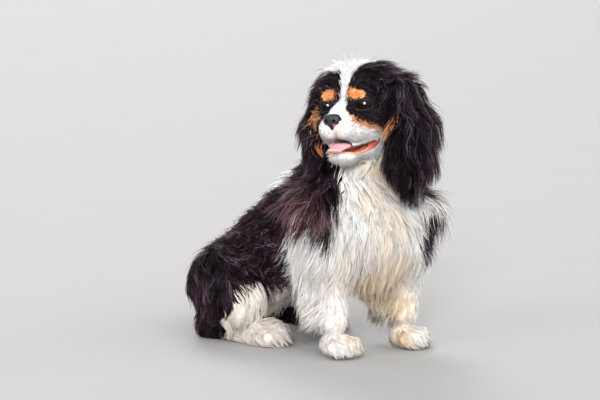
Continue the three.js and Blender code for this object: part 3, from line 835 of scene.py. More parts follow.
def nose_material():
    """Black pebbled leather, moist on top, with a little pink at the nostrils."""
    s = Shader("spaniel_nose")
    place, nose = s.place(), settings().nose
    mottle = s.noise(place, 300)
    leather = s.mixed(mottle, toned(nose), toned(nose, 2.2))
    s.base(
        Base_Color=s.mixed(s.attribute("pink", "Fac"), leather, (0.50, 0.14, 0.12, 1)), Roughness=0.36,
        Specular_IOR_Level=0.3, Coat_Weight=0.12, Coat_Roughness=0.15,
    )
    s.bump(s.math("ADD", s.cells(place, 620), s.math("MULTIPLY", mottle, 0.4)), 0.45, 0.0006)
    return s.material


def tongue_material():
    """Wet pink flesh with fine buds."""
    s = Shader("spaniel_tongue")
    place, pink = s.place(), settings().tongue
    s.base(
        Base_Color=s.mixed(s.noise(place, 60), toned(pink), toned(pink, (0.85, 0.6, 0.62))), Roughness=0.3,
        Coat_Weight=0.6, Coat_Roughness=0.12, Subsurface_Weight=0.25, Subsurface_Scale=0.003,
    )
    s.bump(s.cells(place, 900), 0.35, 0.0005)
    return s.material


def horn_material():
    """Dark horn of the claws, paler in streaks."""
    s = Shader("spaniel_horn")
    tone = s.noise(s.place(), 120, 4.0)
    s.base(Base_Color=s.mixed(tone, (0.06, 0.045, 0.04, 1), (0.32, 0.25, 0.2, 1)), Roughness=0.35)
    s.bump(tone, 0.3, 0.0003)
    return s.material


def whisker_material():
    """Grey brown bristles."""
    s = Shader("spaniel_whisker")
    tone = s.noise(s.place(), 80)
    s.base(Base_Color=s.mixed(tone, (0.32, 0.29, 0.27, 1), (0.12, 0.1, 0.09, 1)), Roughness=0.35)
    return s.material


def floor_material():
    """A plain pale matt floor."""
    s = Shader("stage_floor")
    place, colour = s.place(), settings().floor_colour
    s.base(Base_Color=s.mixed(s.noise(place, 4, 5.0), toned(colour), toned(colour, 0.94)), Roughness=0.75)
    s.bump(s.noise(place, 160, 4.0), 0.05, 0.002)
    return s.material


# ---------------------------------------------------------------- settings
def share_setting(name, description, default, least=0, most=1):
    return FloatProperty(
        name=name, description=description, default=default, min=least, max=most, subtype="FACTOR",
    )


def length_setting(name, description, default, least=0):
    return FloatProperty(name=name, description=description, default=default, min=least, unit="LENGTH")


def angle_setting(name, description, degrees):
    return FloatProperty(name=name, description=description, default=math.radians(degrees), subtype="ANGLE")


def strength_setting(name, description, default):
    return FloatProperty(name=name, description="Strength of " + description, default=default, min=0)


def colour_setting(name, description, default):
    return FloatVectorProperty(
        name=name, description="Colour of " + description, default=default,
        size=3, min=0, max=1, subtype="COLOR",
    )


class SpanielSettings(bpy.types.PropertyGroup):
    """Sizes and colours of the spaniel and its stage."""

    skin_grid: FloatProperty(
        name="Skin grid", description="Cell size of the grid the skin is drawn on, in millimetres",
        default=3.2, min=2, max=8,
    )
    skin_share: share_setting("Skin depth", "Share of the coat's depth at which the skin lies", 0.2)
    tufts: share_setting("Tufts", "Number of tufts, as a share of the full coat", 1.0, 0.02, 1.2)
    tuft_width: share_setting("Tuft width", "Width of tufts, as a share of their usual width", 1.0, 0.2, 3)
    clump: share_setting("Clumping", "How far the tips of neighbouring tufts draw together", 0.7)
    wave: share_setting("Wave", "How much the long hair waves, as a share of its usual waves", 1.0, 0, 2)
    seed: IntProperty(name="Seed", description="Seed of everything random in the coat", default=7, min=0)
    black: colour_setting("Black", "the black coat", (0.0046, 0.0034, 0.0046))
    white: colour_setting("White", "the white coat", (0.94, 0.92, 0.89))
    cream: colour_setting("Cream", "the cream hair of chest and legs", (0.90, 0.66, 0.43))
    # The brown is sunburnt hair, and also painted sheen on the right shoulder.
    brown_and_sheen: colour_setting("Brown", "the sunburnt hair in the black coat", (0.058, 0.029, 0.032))
    tan: colour_setting("Tan", "the tan markings", (0.70, 0.25, 0.075))
    lip: colour_setting("Lip", "the bare skin of the lips", (0.72, 0.34, 0.24))
    iris: colour_setting("Iris", "the iris", (0.007, 0.003, 0.002))
    nose: colour_setting("Nose", "the nose", (0.009, 0.0085, 0.0105))
    tongue: colour_setting("Tongue", "the tongue", (0.86, 0.42, 0.44))
    whiskers: IntProperty(
        name="Whiskers", description="Whiskers on each side of the muzzle", default=7, min=0,
    )
    whisker_length: length_setting("Whisker length", "Length of the longest whiskers", 0.045)
    claw_length: length_setting("Claw length", "Length of each claw", 0.010)
    claw_radius: length_setting("Claw radius", "Radius of each claw at its root", 0.0022)
    camera_azimuth: angle_setting("Camera azimuth", "How far round the camera is from the dog's front", -40)
    camera_elevation: angle_setting("Camera elevation", "How high the camera stands", 8)
    camera_distance: length_setting("Camera distance", "How far the camera is from its target", 2.6, 0.1)
    camera_lens: FloatProperty(
        name="Lens", description="Focal length of the camera, in millimetres", default=107.6, min=10,
    )
    camera_target: FloatVectorProperty(
        name="Camera target", description="The middle of the view, in the dog's own frame in millimetres",
        size=3, default=(-36.0, -8.4, 209.5),
    )
    floor_colour: colour_setting("Floor", "the floor", (0.29, 0.29, 0.29))
    floor_size: length_setting("Floor size", "Side of the floor", 80, 1)
    key_light: strength_setting("Key light", "the main light, above the camera", 2.8)
    side_light: strength_setting("Side light", "the light from the side that the dog looks to", 0.7)
    fill_light: strength_setting("Fill light", "the soft light from the dog's left", 3.7)
    rim_light: strength_setting("Rim light", "the light from behind", 1.5)
    catch_light: strength_setting("Catch light", "the light that shines in the eyes", 24)
    sky_light: strength_setting("Sky light", "the light from all round", 0.95)


# ---------------------------------------------------------------- pieces
class SPANIEL_OT_stage(bpy.types.Operator):
    """Makes the floor, the lights and the camera"""

    bl_idname = "spaniel.stage"
    bl_label = "Stage"

    def execute(self, context):
        c, scene = settings(), context.scene
        corners = np.array(((-1, -1, 0), (1, -1, 0), (1, 1, 0), (-1, 1, 0))) * c.floor_size / 2
        plane = new_mesh("stage_floor", corners, np.array(((0, 1, 2, 3),)), 4)
        new_object("stage_floor", plane, floor_material())
        lens = bpy.data.cameras.new("camera")
        lens.lens, lens.sensor_width = c.camera_lens, 36
        away = direction(c.camera_azimuth, c.camera_elevation)
        scene.camera = aimed("camera", lens, away, c.camera_distance, Vector(to_scene(c.camera_target)))
        for name, power, spread, azimuth, elevation in (
            ("key_light", c.key_light, 20, -46, 25),
            ("side_light", c.side_light, 25, -95, 32),
            ("fill_light", c.fill_light, 120, 4, 12),
            ("rim_light", c.rim_light, 25, 150, 42),
            ("catch_light", c.catch_light, 36, -46, 20),
        ):
            lamp = bpy.data.lights.new(name, "SUN")
            lamp.energy, lamp.angle = power, math.radians(spread)
            light = aimed(name, lamp, direction(math.radians(azimuth), math.radians(elevation)), 3)
            light.visible_glossy = name != "fill_light"
            light.visible_diffuse = name != "catch_light"
        world = bpy.data.worlds.new("world")
        world.use_nodes = True
        sky = world.node_tree.nodes["Background"]
        sky.inputs[0].default_value, sky.inputs[1].default_value = (1.0, 0.985, 0.965, 1), c.sky_light
        scene.world = world
        scene.view_settings.view_transform = "Standard"
        return {"FINISHED"}


def direction(azimuth, elevation):
    """The way from the dog to what stands round it at an azimuth from its front and an elevation."""
    level = math.cos(elevation)
    return Vector((math.sin(azimuth) * level, -math.cos(azimuth) * level, math.sin(elevation)))


def aimed(name, data, away, distance, target=Vector()):
    """A camera or lamp that stands some way off from a target and looks at it."""
    made = placed(name, data)
    made.location = target + away * distance
    made.rotation_euler = (-away).to_track_quat("-Z", "Y").to_euler()
    return made


FLESH = ("torso", "head", "ear", "neck", "jaw", "foreleg", "forepaw", "thigh", "hindfoot", "tail")
FLESH_NODES = [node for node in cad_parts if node.split("_")[0] in FLESH]
made_skin = {}  # the skin's points and triangles, and the coat's place on them, kept between operators


def grid_axes(lowest, highest, step):
    return [np.arange(low, high + step, step) for low, high in zip(lowest, highest)]


def grid_points(axes):
    return np.stack(np.meshgrid(*axes, indexing="ij"), -1)


def skin_field(points):
    """How far points lie outside the skin, which keeps a little off the floor."""
    d = body(points, settings().skin_share)
    return np.maximum(face_details(points, d), SOLE_HEIGHT - points[:, 2])


# In millimetres: the field's value away from all forms, how far round a form it is worked out, and how near
# the skin it takes the face's details.
FAR_OFF, FORM_MARGIN, DETAIL_REACH = 40.0, 12, 25


def skin_values(axes):
    """The skin's field on a grid, worked out only round each form."""
    values = np.full([len(a) for a in axes], FAR_OFF)
    for form in FORMS:
        margin = max(form.ra, form.rb) * form.wide + form.coat + form.blend + FORM_MARGIN
        low, high = np.minimum(form.a, form.b) - margin, np.maximum(form.a, form.b) + margin
        window = tuple(slice(*np.searchsorted(axes[i], (low[i], high[i]))) for i in range(3))
        grid = grid_points([axes[i][window[i]] for i in range(3)])
        d = distance(grid.reshape(-1, 3), form, settings().skin_share).reshape(grid.shape[:3])
        values[window] = blended(values[window], d, form.blend)
    near = np.abs(values) < DETAIL_REACH
    spots = np.argwhere(near)
    values[near] = face_details(np.stack([axes[i][spots[:, i]] for i in range(3)], 1), values[near])
    return np.maximum(values, SOLE_HEIGHT - axes[2])


def on_face(points):
    f, left, up = to_head(points).T
    return (f > 18) & (np.abs(left) < 50) & (up < 45) & (up > -92) & (f < 110)


def at_eyes_or_mouth(points):
    q = to_head(points)
    eyes = [eye_distance(q, s) < 17 for s in BOTH_SIDES]
    mouth = (mouth_opening(q) < 4) & (q[:, 0] > 15)
    return on_face(points) & (eyes[0] | eyes[1] | mouth)


def skin_surface():
    """The skin's points and triangles in millimetres, finest at eyes and mouth."""
    if not made_skin:
        step = settings().skin_grid
        ends = np.array([p for form in FORMS for p in (form.a, form.b)])
        lowest, highest = ends.min(0) - 90, ends.max(0) + 90
        lowest[2] = -6
        points, quads = surface_nets(lowest, step, skin_values(grid_axes(lowest, highest, step)))
        triangles = triangles_of(points, quads)
        points = seated(skin_field, points)
        for wanted in (on_face, at_eyes_or_mouth):
            points, triangles = split_edges(points, triangles, wanted)
            points = seated(skin_field, points, 2)
        made_skin.update(points=points, triangles=triangles)
    return made_skin["points"], made_skin["triangles"]


def bare_skin(points, tint):
    """The tint with lids, lips, mouth and the groove under the nose coloured, with painted shade deep in the
    mouth and behind the nose leather, and how bare the skin is.
    """
    q = to_head(points)
    f, left, up = q.T
    near = np.linalg.norm(q, axis=1) < FACE_REACH
    rim = np.full(len(points), 99.0)
    for s in BOTH_SIDES:
        at_eye = eye_distance(q, s) < EYE_RADIUS + 7
        rim = np.where(at_eye, np.minimum(rim, np.abs(lid_opening(q, s))), rim)
    lids = ramp(2.8 - rim, 0, 1.4) * near
    mouth, low = mouth_opening(q), below_lips(q)
    edge = np.where(low, 5.5, 1.6 + 1.8 * ramp(76 - f, 0, 8))
    lips = ramp(edge - mouth, 0, np.where(low, 2.5, 1.0)) * near * (f > 12)
    inside = ramp(-mouth, -0.8, 0.6) * near * (f > 8)
    # Painted shade: the middle of the mouth is near black, deep inside.
    painted_mouth_shade = inside * ramp(14 - np.abs(left), -4, 4)
    groove = ramp(2.6 - capsule(q, *NOSE_GROOVE), 0, 1.2) * near
    patch = ramp(1 - np.hypot((left - 7) / 6.5, (up + 37) / 8.5), -0.3, 0.4) * ramp(f, 66, 74)
    lip_tone = np.array(settings().lip)[None] * (0.9 + 0.25 * waves(points, 7, 31))[:, None]
    lip_tone = lip_tone + ((0.42, 0.07, 0.06) - lip_tone) * ramp(46 - f, 0, 18)[:, None]
    lip_tone = np.where(low[:, None], lip_tone, lip_tone * 0.25)
    # Painted shade: the skin behind the nose leather is near black, so the nostrils look dark inside.
    p = q - NOSE_PLACE
    painted_nostril_shade = ramp(1.1 - np.hypot(p[:, 1] / 10, (p[:, 2] + 1) / 5), 0, 0.2) * (p[:, 0] > -25)
    for colour, share in (
        ((0.86, 0.50, 0.44), 0.75 * patch), (lip_tone, lips), ((0.42, 0.075, 0.06), inside),
        ((0.05, 0.008, 0.008), painted_mouth_shade), ((0.007, 0.005, 0.005), lids), ((0.03, 0.02, 0.022), groove),
        ((0.008, 0.006, 0.007), painted_nostril_shade),
    ):
        tint = tint + (np.asarray(colour) - tint) * share[:, None]
    return tint, np.maximum.reduce([0.3 * lids, lips, inside, groove])


class SPANIEL_OT_skin(bpy.types.Operator):
    """Makes the one skin of the whole body, with lids and lips, in the coat's markings"""

    bl_idname = "spaniel.skin"
    bl_label = "Skin"

    def execute(self, context):
        points, triangles = skin_surface()
        mesh = new_mesh("skin", to_scene(points), triangles)
        tint, bare = bare_skin(points, markings(points, FORM_PARTS[nearest_parts(points)[1]])[0])
        store(mesh, "tint", tint, "FLOAT_COLOR")
        store(mesh, "bare", bare)
        finish_piece(new_object("skin", mesh, skin_material()), "coat_black", *FLESH_NODES)
        return {"FINISHED"}


def eye_shape(rings=40, around=48):
    """An eye of radius 1 that looks towards +X: points, triangles, and each point's angle from +X."""
    polar = np.linspace(0, math.pi, rings + 1)[1:-1]
    turn = np.linspace(0, 2 * math.pi, around, endpoint=False)
    p, t = (a.ravel() for a in np.meshgrid(polar, turn, indexing="ij"))
    bulge = 1 + EYE_BULGE * bell(np.degrees(p), 0, EYE_BULGE_ANGLE)
    points = np.stack([np.cos(p), np.sin(p) * np.cos(t), np.sin(p) * np.sin(t)], 1) * bulge[:, None]
    points = np.concatenate([points, ((1 + EYE_BULGE, 0, 0), (-1, 0, 0))])
    number = np.arange((rings - 1) * around).reshape(rings - 1, around)
    after = np.roll(number, -1, 1)
    quads = np.stack([number[:-1], number[1:], after[1:], after[:-1]], -1).reshape(-1, 4)
    front, back = np.full(around, len(points) - 2), np.full(around, len(points) - 1)
    caps = [np.stack([front, number[0], after[0]], 1), np.stack([back, after[-1], number[-1]], 1)]
    triangles = np.concatenate([quads[:, (0, 1, 2)], quads[:, (0, 2, 3)], *caps])
    return points, triangles, np.concatenate([np.degrees(p), (0, 180)])


class SPANIEL_OT_eyes(bpy.types.Operator):
    """Makes both eyes, each with a bulging clear front"""

    bl_idname = "spaniel.eyes"
    bl_label = "Eyes"

    def execute(self, context):
        material = eye_material()
        seen = bpy.data.collections.new("catch_light_receivers")
        bpy.data.objects["catch_light"].light_linking.receiver_collection = seen
        points, triangles, angle = eye_shape()
        for side, s in (("left", 1), ("right", -1)):
            places = from_head(points * EYE_RADIUS @ turned_about("Z", GAZE_OUT * s).T + eye_place(s))
            mesh = new_mesh("eye_ball_" + side, to_scene(places), triangles)
            store(mesh, "gaze_angle", angle)
            eye = new_object("eye_ball_" + side, mesh, material)
            seen.objects.link(eye)
            finish_piece(eye, "eye", "eye_" + side)
        return {"FINISHED"}


def nose_field(q):
    """The nose's leather: a broad pad with rounded wings, two nostrils and a groove."""
    p = (q - NOSE_PLACE) / NOSE_SCALE
    pad = np.linalg.norm(p / (8.2, 12.2, 8.8), axis=1) * 8.2 - 8.2
    d = blended(pad, capsule(p, (1, -6.5, 3.6), (1, 6.5, 3.6), 4.6, 4.6), 3)
    d = blended(d, capsule(p, (3.5, 0, -4), (1.5, 0, -10), 4.2, 2.6), 3)
    for s in BOTH_SIDES:
        d = blended(d, capsule(p, (3.5, 7.4 * s, -1.2), (-1.0, 9.6 * s, 0.5), 3.7, 3.1), 2)
        d = cut(d, capsule(p, (10.5, 4.9 * s, -1.6), (2.0, 6.0 * s, 0.4), 2.5, 1.9), 1.0)
        d = cut(d, capsule(p, (6.5, 7.6 * s, -2.6), (1.0, 12.0 * s, -1.4), 1.2, 0.8), 0.8)
    return NOSE_SCALE * cut(d, capsule(p, (9.2, 0, 2.0), (7.0, 0, -10.0), 0.7, 1.0), 1.0)


def net_piece(name, field, lowest, highest, step, material):
    """A closed piece of the head from a field, on its own grid: its points there, and its object."""
    grid = grid_points(grid_axes(lowest, highest, step))
    values = field(grid.reshape(-1, 3)).reshape(grid.shape[:3])
    points, quads = surface_nets(np.array(lowest, float), step, values)
    points = seated(field, points, 2)
    mesh = new_mesh(name, to_scene(from_head(points)), triangles_of(points, quads))
    return points, new_object(name, mesh, material)


class SPANIEL_OT_nose(bpy.types.Operator):
    """Makes the nose's leather with its nostrils"""

    bl_idname = "spaniel.nose"
    bl_label = "Nose"

    def execute(self, context):
        box = (NOSE_PLACE - 17, NOSE_PLACE + 17)
        points, nose = net_piece("nose_leather", nose_field, *box, 0.5, nose_material())
        f, left, up = (points - NOSE_PLACE).T
        store(nose.data, "pink", 0.8 * ramp(-up, 3.5, 6.5) * ramp(np.abs(left), 2.5, 5) * ramp(f, 1, 4))
        finish_piece(nose, "nose_leather", "nose")
        return {"FINISHED"}


def tongue_field(q):
    """The tongue, which lies flat over the lower lip with a shallow fold down its middle."""
    d = capsule(q, (34, 0, -60), (62, 0, -58), 12, 14, 0.34)
    d = blended(d, capsule(q, (62, 0, -58), (79, -0.5, -62.5), 13.5, 11, 0.34), 5)
    return cut(d, capsule(q, (30, 0, -52.6), (84, -0.5, -57.4), 1.2, 0.8), 2.5)


class SPANIEL_OT_tongue(bpy.types.Operator):
    """Makes the tongue that lies over the lower lip"""

    bl_idname = "spaniel.tongue"
    bl_label = "Tongue"

    def execute(self, context):
        box = ((18, -20, -76), (96, 22, -42))
        _, tongue = net_piece("tongue_flesh", tongue_field, *box, 0.8, tongue_material())
        finish_piece(tongue, "tongue", "tongue")
        return {"FINISHED"}


# ---------------------------------------------------------------- claws and whiskers
SPIKE_BEND = 0.25  # how far a spike's tip bends off its way, as a share of its length
WHISKER_RADIUS = 0.00016


def spikes_tree():
    """Grows a tapered, bent spike along each point's own way."""
    group = bpy.data.node_groups.new("spaniel_spikes", "GeometryNodeTree")
    for name, kind, value in (
        ("Points", "Geometry", None), ("Length", "Float", 0.01), ("Radius", "Float", 0.001),
        ("Bend", "Float", 0.002), ("Least Size", "Float", 0.8), ("Rings", "Int", 7), ("Sides", "Int", 6),
        ("Seed", "Int", 1), ("Material", "Material", None),
    ):
        socket = group.interface.new_socket(name, in_out="INPUT", socket_type="NodeSocket" + kind)
        if value is not None:
            socket.default_value = value
    group.interface.new_socket("Spikes", in_out="OUTPUT", socket_type="NodeSocketGeometry")
    t = NodeTree(group)

    def attribute(name):
        made = t.node("GeometryNodeInputNamedAttribute", {"Name": name}, data_type="FLOAT_VECTOR")
        return made.outputs["Attribute"]

    given = t.node("NodeGroupInput").outputs
    sockets = {"Direction": (0, 0, 1), "Length": given["Length"]}
    line = t.node("GeometryNodeCurvePrimitiveLine", sockets, mode="DIRECTION").outputs["Curve"]
    rings = t.node("GeometryNodeResampleCurve", {"Curve": line, "Count": given["Rings"]}).outputs["Curve"]
    along = t.node("GeometryNodeSplineParameter").outputs["Factor"]
    bend = t.math("MULTIPLY", t.math("MULTIPLY", along, along), given["Bend"])
    offset = t.node("ShaderNodeCombineXYZ", {"X": bend}).outputs[0]
    bent = t.node("GeometryNodeSetPosition", {"Geometry": rings, "Offset": offset}).outputs[0]
    taper = t.math("POWER", t.math("SUBTRACT", 1.02, along), 0.8)
    radius = t.math("MULTIPLY", taper, given["Radius"])
    thick = t.node("GeometryNodeSetCurveRadius", {"Curve": bent, "Radius": radius}).outputs[0]
    sockets = {"Radius": 1, "Resolution": given["Sides"]}
    ring = t.node("GeometryNodeCurvePrimitiveCircle", sockets).outputs["Curve"]
    solid = t.node("GeometryNodeCurveToMesh", {"Curve": thick, "Profile Curve": ring, "Fill Caps": True})
    if "Scale" in solid.inputs:
        t.feed(solid.inputs["Scale"], radius)
    sockets = {"Vector": attribute("way")}
    turned = t.node("FunctionNodeAlignRotationToVector", sockets, axis="Z").outputs[0]
    sockets = {"Rotation": turned, "Vector": attribute("lean")}
    rolled = t.node("FunctionNodeAlignRotationToVector", sockets, axis="X", pivot_axis="Z").outputs[0]
    size = t.node("FunctionNodeRandomValue", {"Seed": given["Seed"]}, data_type="FLOAT")
    least, most = [s for s in size.inputs if s.name in ("Min", "Max") and s.type == "VALUE"]
    t.feed(least, given["Least Size"])
    t.feed(most, 1)
    sockets = {
        "Points": given["Points"], "Instance": solid.outputs[0], "Rotation": rolled,
        "Scale": [s for s in size.outputs if s.type == "VALUE"][0],
    }
    copies = t.node("GeometryNodeInstanceOnPoints", sockets).outputs[0]
    real = t.node("GeometryNodeRealizeInstances", {0: copies}).outputs[0]
    dressed = t.node("GeometryNodeSetMaterial", {"Geometry": real, "Material": given["Material"]})
    t.node("NodeGroupOutput", {0: dressed.outputs[0]})
    return group


def spikes(name, roots, ways, leans, **inputs):
    """One piece with a spike at each root, in metres, from the node tree with its inputs set by name."""
    tree = bpy.data.node_groups.get("spaniel_spikes") or spikes_tree()
    base = bpy.data.meshes.new(name + "_roots")
    base.from_pydata([tuple(p) for p in to_scene(roots)], [], [])
    store(base, "way", np.array(ways, float), "FLOAT_VECTOR")
    store(base, "lean", np.array(leans, float), "FLOAT_VECTOR")
    grower = placed(name + "_roots", base)
    modifier = grower.modifiers.new("spikes", "NODES")
    modifier.node_group = tree
    sockets = {item.name: item.identifier for item in tree.interface.items_tree if item.in_out == "INPUT"}
    for key, value in inputs.items():
        modifier[sockets[key.replace("_", " ")]] = value
    bpy.context.view_layer.update()
    grown = grower.evaluated_get(bpy.context.evaluated_depsgraph_get())
    mesh = bpy.data.meshes.new_from_object(grown)
    grower.modifiers.remove(modifier)
    bpy.data.objects.remove(grower)
    mesh.shade_smooth()
    if not mesh.materials:
        mesh.materials.append(inputs["Material"])
    return placed(name, mesh)


class SPANIEL_OT_claws(bpy.types.Operator):
    """Makes the claws of all four feet"""

    bl_idname = "spaniel.claws"
    bl_label = "Claws"

    def execute(self, context):
        c = settings()
        roots, ways = [], []
        for place, way, radius in (foot for leg in LEGS.values() for foot in feet_of(leg).values()):
            for tip in toe_tips(place, way, radius):
                roots.append(tip + way * radius * 0.62 - (0, 0, 1.5))
                ways.append(unit(way - (0, 0, 0.45)))
        claws = spikes(
            "claws", np.array(roots), ways, [(0, 0, -1)] * len(roots), Length=c.claw_length,
            Radius=c.claw_radius, Bend=c.claw_length * SPIKE_BEND, Least_Size=0.9, Rings=7, Sides=8,
            Seed=c.seed, Material=horn_material(),
        )
        finish_piece(claws, "nose_leather")
        return {"FINISHED"}


class SPANIEL_OT_whiskers(bpy.types.Operator):
    """Makes the whiskers of the muzzle"""

    bl_idname = "spaniel.whiskers"
    bl_label = "Whiskers"

    def execute(self, context):
        c = settings()
        roots, ways = [], []
        for s in BOTH_SIDES:
            for i in range(c.whiskers):
                row, column = i % 3, i // 3
                roots.append((72 - 7 * column - 2 * row, (15 + 3.5 * column) * s, -31 - 6 * row))
                ways.append((0.35 - 0.22 * column, 0.9 * s, 0.12 - 0.22 * row))
        places = seated(skin_field, from_head(np.array(roots, float)), 4)
        leans = [HEAD_AXES @ (-0.6, 0, -0.8)] * len(roots)
        whiskers = spikes(
            "whiskers", places, np.array(ways) @ HEAD_AXES.T, leans, Length=c.whisker_length,
            Radius=WHISKER_RADIUS, Bend=c.whisker_length * SPIKE_BEND, Least_Size=0.45, Rings=9, Sides=4,
            Seed=c.seed, Material=whisker_material(),
        )
        finish_piece(whiskers, "coat_white")
        return {"FINISHED"}


# ---------------------------------------------------------------- coat
TUFT_SIDES = 3
# How fast tufts rise to the coat's surface, and the length of their waves in millimetres.
RISE, WAVE_LENGTH = 0.7, 40
# The box that no hair leaves: the floor, and a little past the solids' own box on the other sides.
HAIR_BOX = np.array(PACKED_BOX) * 1000 - OFFSET + ((-12, -12, 0), (12, 12, 19))
HAIR_BOX[0, 2] = SOLE_HEIGHT
HAIR_FLOOR = 1.2
ROOT_DEPTH = 0.8
# The widths of wisps and of fine tufts as shares of the others', and how thick tufts are for their width.
WISP_WIDTH, FINE_WIDTH = 0.28, 0.42
THICKNESS, FINE_THICKNESS = 0.4, 0.7
# The blue of the painted sheen added to the lightest black locks, how rusty black tips turn, and the lightest
# colour of any hair.
PAINTED_SHEEN, TIP_RUST, LIGHTEST = (0.016, 0.013, 0.022), (0.16, -0.02, 0.02), 0.97


def sampled(points, triangles, wanted, density, random):
    """Random roots on the wanted triangles, density of them on each square millimetre."""
    a, b, c = (points[triangles[:, i]] for i in range(3))
    area = np.linalg.norm(np.cross(b - a, c - a), axis=1) / 2
    weight = area * density * wanted
    count = int(weight.sum())
    chosen = random.choice(len(triangles), count, p=weight / weight.sum())
    u, v = random.random((2, count))
    flip = u + v > 1
    u, v = np.where(flip, 1 - u, u), np.where(flip, 1 - v, v)
    return a[chosen] + (b - a)[chosen] * u[:, None] + (c - a)[chosen] * v[:, None]


def hair_paths(roots, lie_weights, length, steps, tip_share, turn, phase, curl, reach):
    """Each tuft's points and normals, from under the skin along the lie of the coat to its tip."""
    start = np.full(len(roots), settings().skin_share)
    normal = gradient(lambda p: body(p, start), roots)
    path, normals = [roots - normal * ROOT_DEPTH], [normal]
    p = roots
    for k in range(1, steps + 1):
        share = k / steps
        ahead = units(lie_at(p, lie_weights))
        outward = (ahead * normal).sum(1)
        hang = ramp(outward, 0.15, 0.85) * share
        ahead = units(ahead - normal * (outward * (1 - hang))[:, None])
        swing = turn + curl * np.sin(share * length * (2 * math.pi / WAVE_LENGTH) + phase)
        ahead = ahead * np.cos(swing)[:, None] + np.cross(normal, ahead) * np.sin(swing)[:, None]
        level = start + (tip_share - start) * share ** RISE
        p = p + ahead * (length / steps)[:, None]
        value = body(p, level)
        normal = gradient(lambda q: body(q, level), p)
        p = p - normal * (value - np.clip(value, 0, reach * hang))[:, None]
        p[:, 2] = np.maximum(p[:, 2], HAIR_FLOOR)
        path.append(p)
        normals.append(normal)
    return np.stack(path, 1), np.stack(normals, 1)


def leaders_of(roots, every, random):
    """For each root, the nearest of the few roots that lead the locks."""
    leaders = random.permutation(len(roots))[: max(len(roots) // every, 1)]
    tree = KDTree(len(leaders))
    for i, leader in enumerate(leaders):
        tree.insert(roots[leader], i)
    tree.balance()
    return leaders[[tree.find(r)[1] for r in roots]]


def tuft_faces(rings):
    """The triangles of one closed tuft, and which of them lie on its under side."""
    faces, under = [(0, 1, 2)], [True]
    last = TUFT_SIDES * (rings - 2)
    for k in range(0, last, TUFT_SIDES):
        for i in range(TUFT_SIDES):
            a, b = k + i, k + (i + 1) % TUFT_SIDES
            faces += [(a, b + TUFT_SIDES, b), (a, a + TUFT_SIDES, b + TUFT_SIDES)]
            under += [i == 0] * 2
    for i in range(TUFT_SIDES):
        faces.append((last + i, last + TUFT_SIDES, last + (i + 1) % TUFT_SIDES))
        under.append(i == 0)
    return np.array(faces), np.array(under)


def tuft_mesh(name, path, normals, width, thick, lean, taper):
    """Closed tapered tufts along their paths, with normals near the body's own so that light falls softly."""
    count, rings = path.shape[:2]
    ahead = units(np.gradient(path, axis=1))
    across = units(np.cross(ahead, normals))
    out = np.cross(across, ahead)
    outward = (out + normals) / 2
    share = np.linspace(0, 1, rings)
    full = (0.6 + 0.4 * np.sin(math.pi * np.clip(share * 1.25, 0, 0.5))) * (1 - share ** taper)
    points, soft = [], []
    for k in range(rings - 1):
        w, h = (width * full[k] / 2)[:, None], (width * thick * full[k])[:, None]
        middle, aside, away = path[:, k], across[:, k], outward[:, k]
        points += [middle - aside * w, middle + aside * w, middle + out[:, k] * h]
        soft += [away - aside * lean, away + aside * lean, away]
    points, soft = np.stack(points + [path[:, -1]], 1), np.stack(soft + [outward[:, -1]], 1)
    per = points.shape[1]
    faces, under = tuft_faces(rings)
    everyone = (np.arange(count) * per)[:, None, None] + faces[None]
    mesh = new_mesh(name, to_scene(points.reshape(-1, 3)), everyone.reshape(-1, 3))
    corners = soft[:, faces]
    a, b, c = (points[:, faces[under, i]] for i in range(3))
    corners[:, under] = np.cross(b - a, c - a)[:, :, None]
    store(mesh, "custom_normal", units(corners), "FLOAT_VECTOR", "CORNER")
    return mesh, everyone.reshape(-1)


def unwrapped(roots):
    """Each root's place on an unwrap of the skin: round and along its nearest form, a cell to each form."""
    _, nearest = nearest_parts(roots)
    cells = math.ceil(math.sqrt(len(FORMS)))
    uv = np.zeros((len(roots), 2))
    for i, form in enumerate(FORMS):
        own = nearest == i
        if not own.any():
            continue
        axis = form.b - form.a
        length = np.linalg.norm(axis)
        axis = axis / length if length else np.array((0.0, 0.0, 1.0))
        first = unit(np.cross(axis, (0.31, 0.87, 0.38)))
        off = roots[own] - form.a
        reach = max(form.ra, form.rb) + form.coat
        along = (off @ axis + reach) / (length + 2 * reach)
        turn = np.arctan2(off @ np.cross(axis, first), off @ first) / (2 * math.pi) + 0.5
        uv[own] = np.stack([turn, np.clip(along, 0, 1)], 1)
        uv[own] = (np.array((i % cells, i // cells)) + 0.03 + 0.94 * uv[own]) / cells
    return uv


BAKE_PATCH = 0.003
# What a coat piece has where its own line says nothing else.
USUAL_COAT = {
    "lean": 0.55,  # how far the normals at a tuft's edges lean to its sides
    "taper": 2.2,  # how late a tuft's width falls to its tip
    "clump": 1.0,  # how far the tips of a lock draw together
    "fine": 0.55,  # the shares of fine, of stray and of short under tufts
    "stray": 0.03,
    "under": 0.0,
    "hang": 9,  # how far ends may hang off the body, in millimetres
    "patchy": 0.0,  # how much of its colour a lock shares
    "gloss": 1.0,  # how much the tone and painted sheen of black locks differ
    "darkest": 0.84,  # the tone of the darkest tufts
}
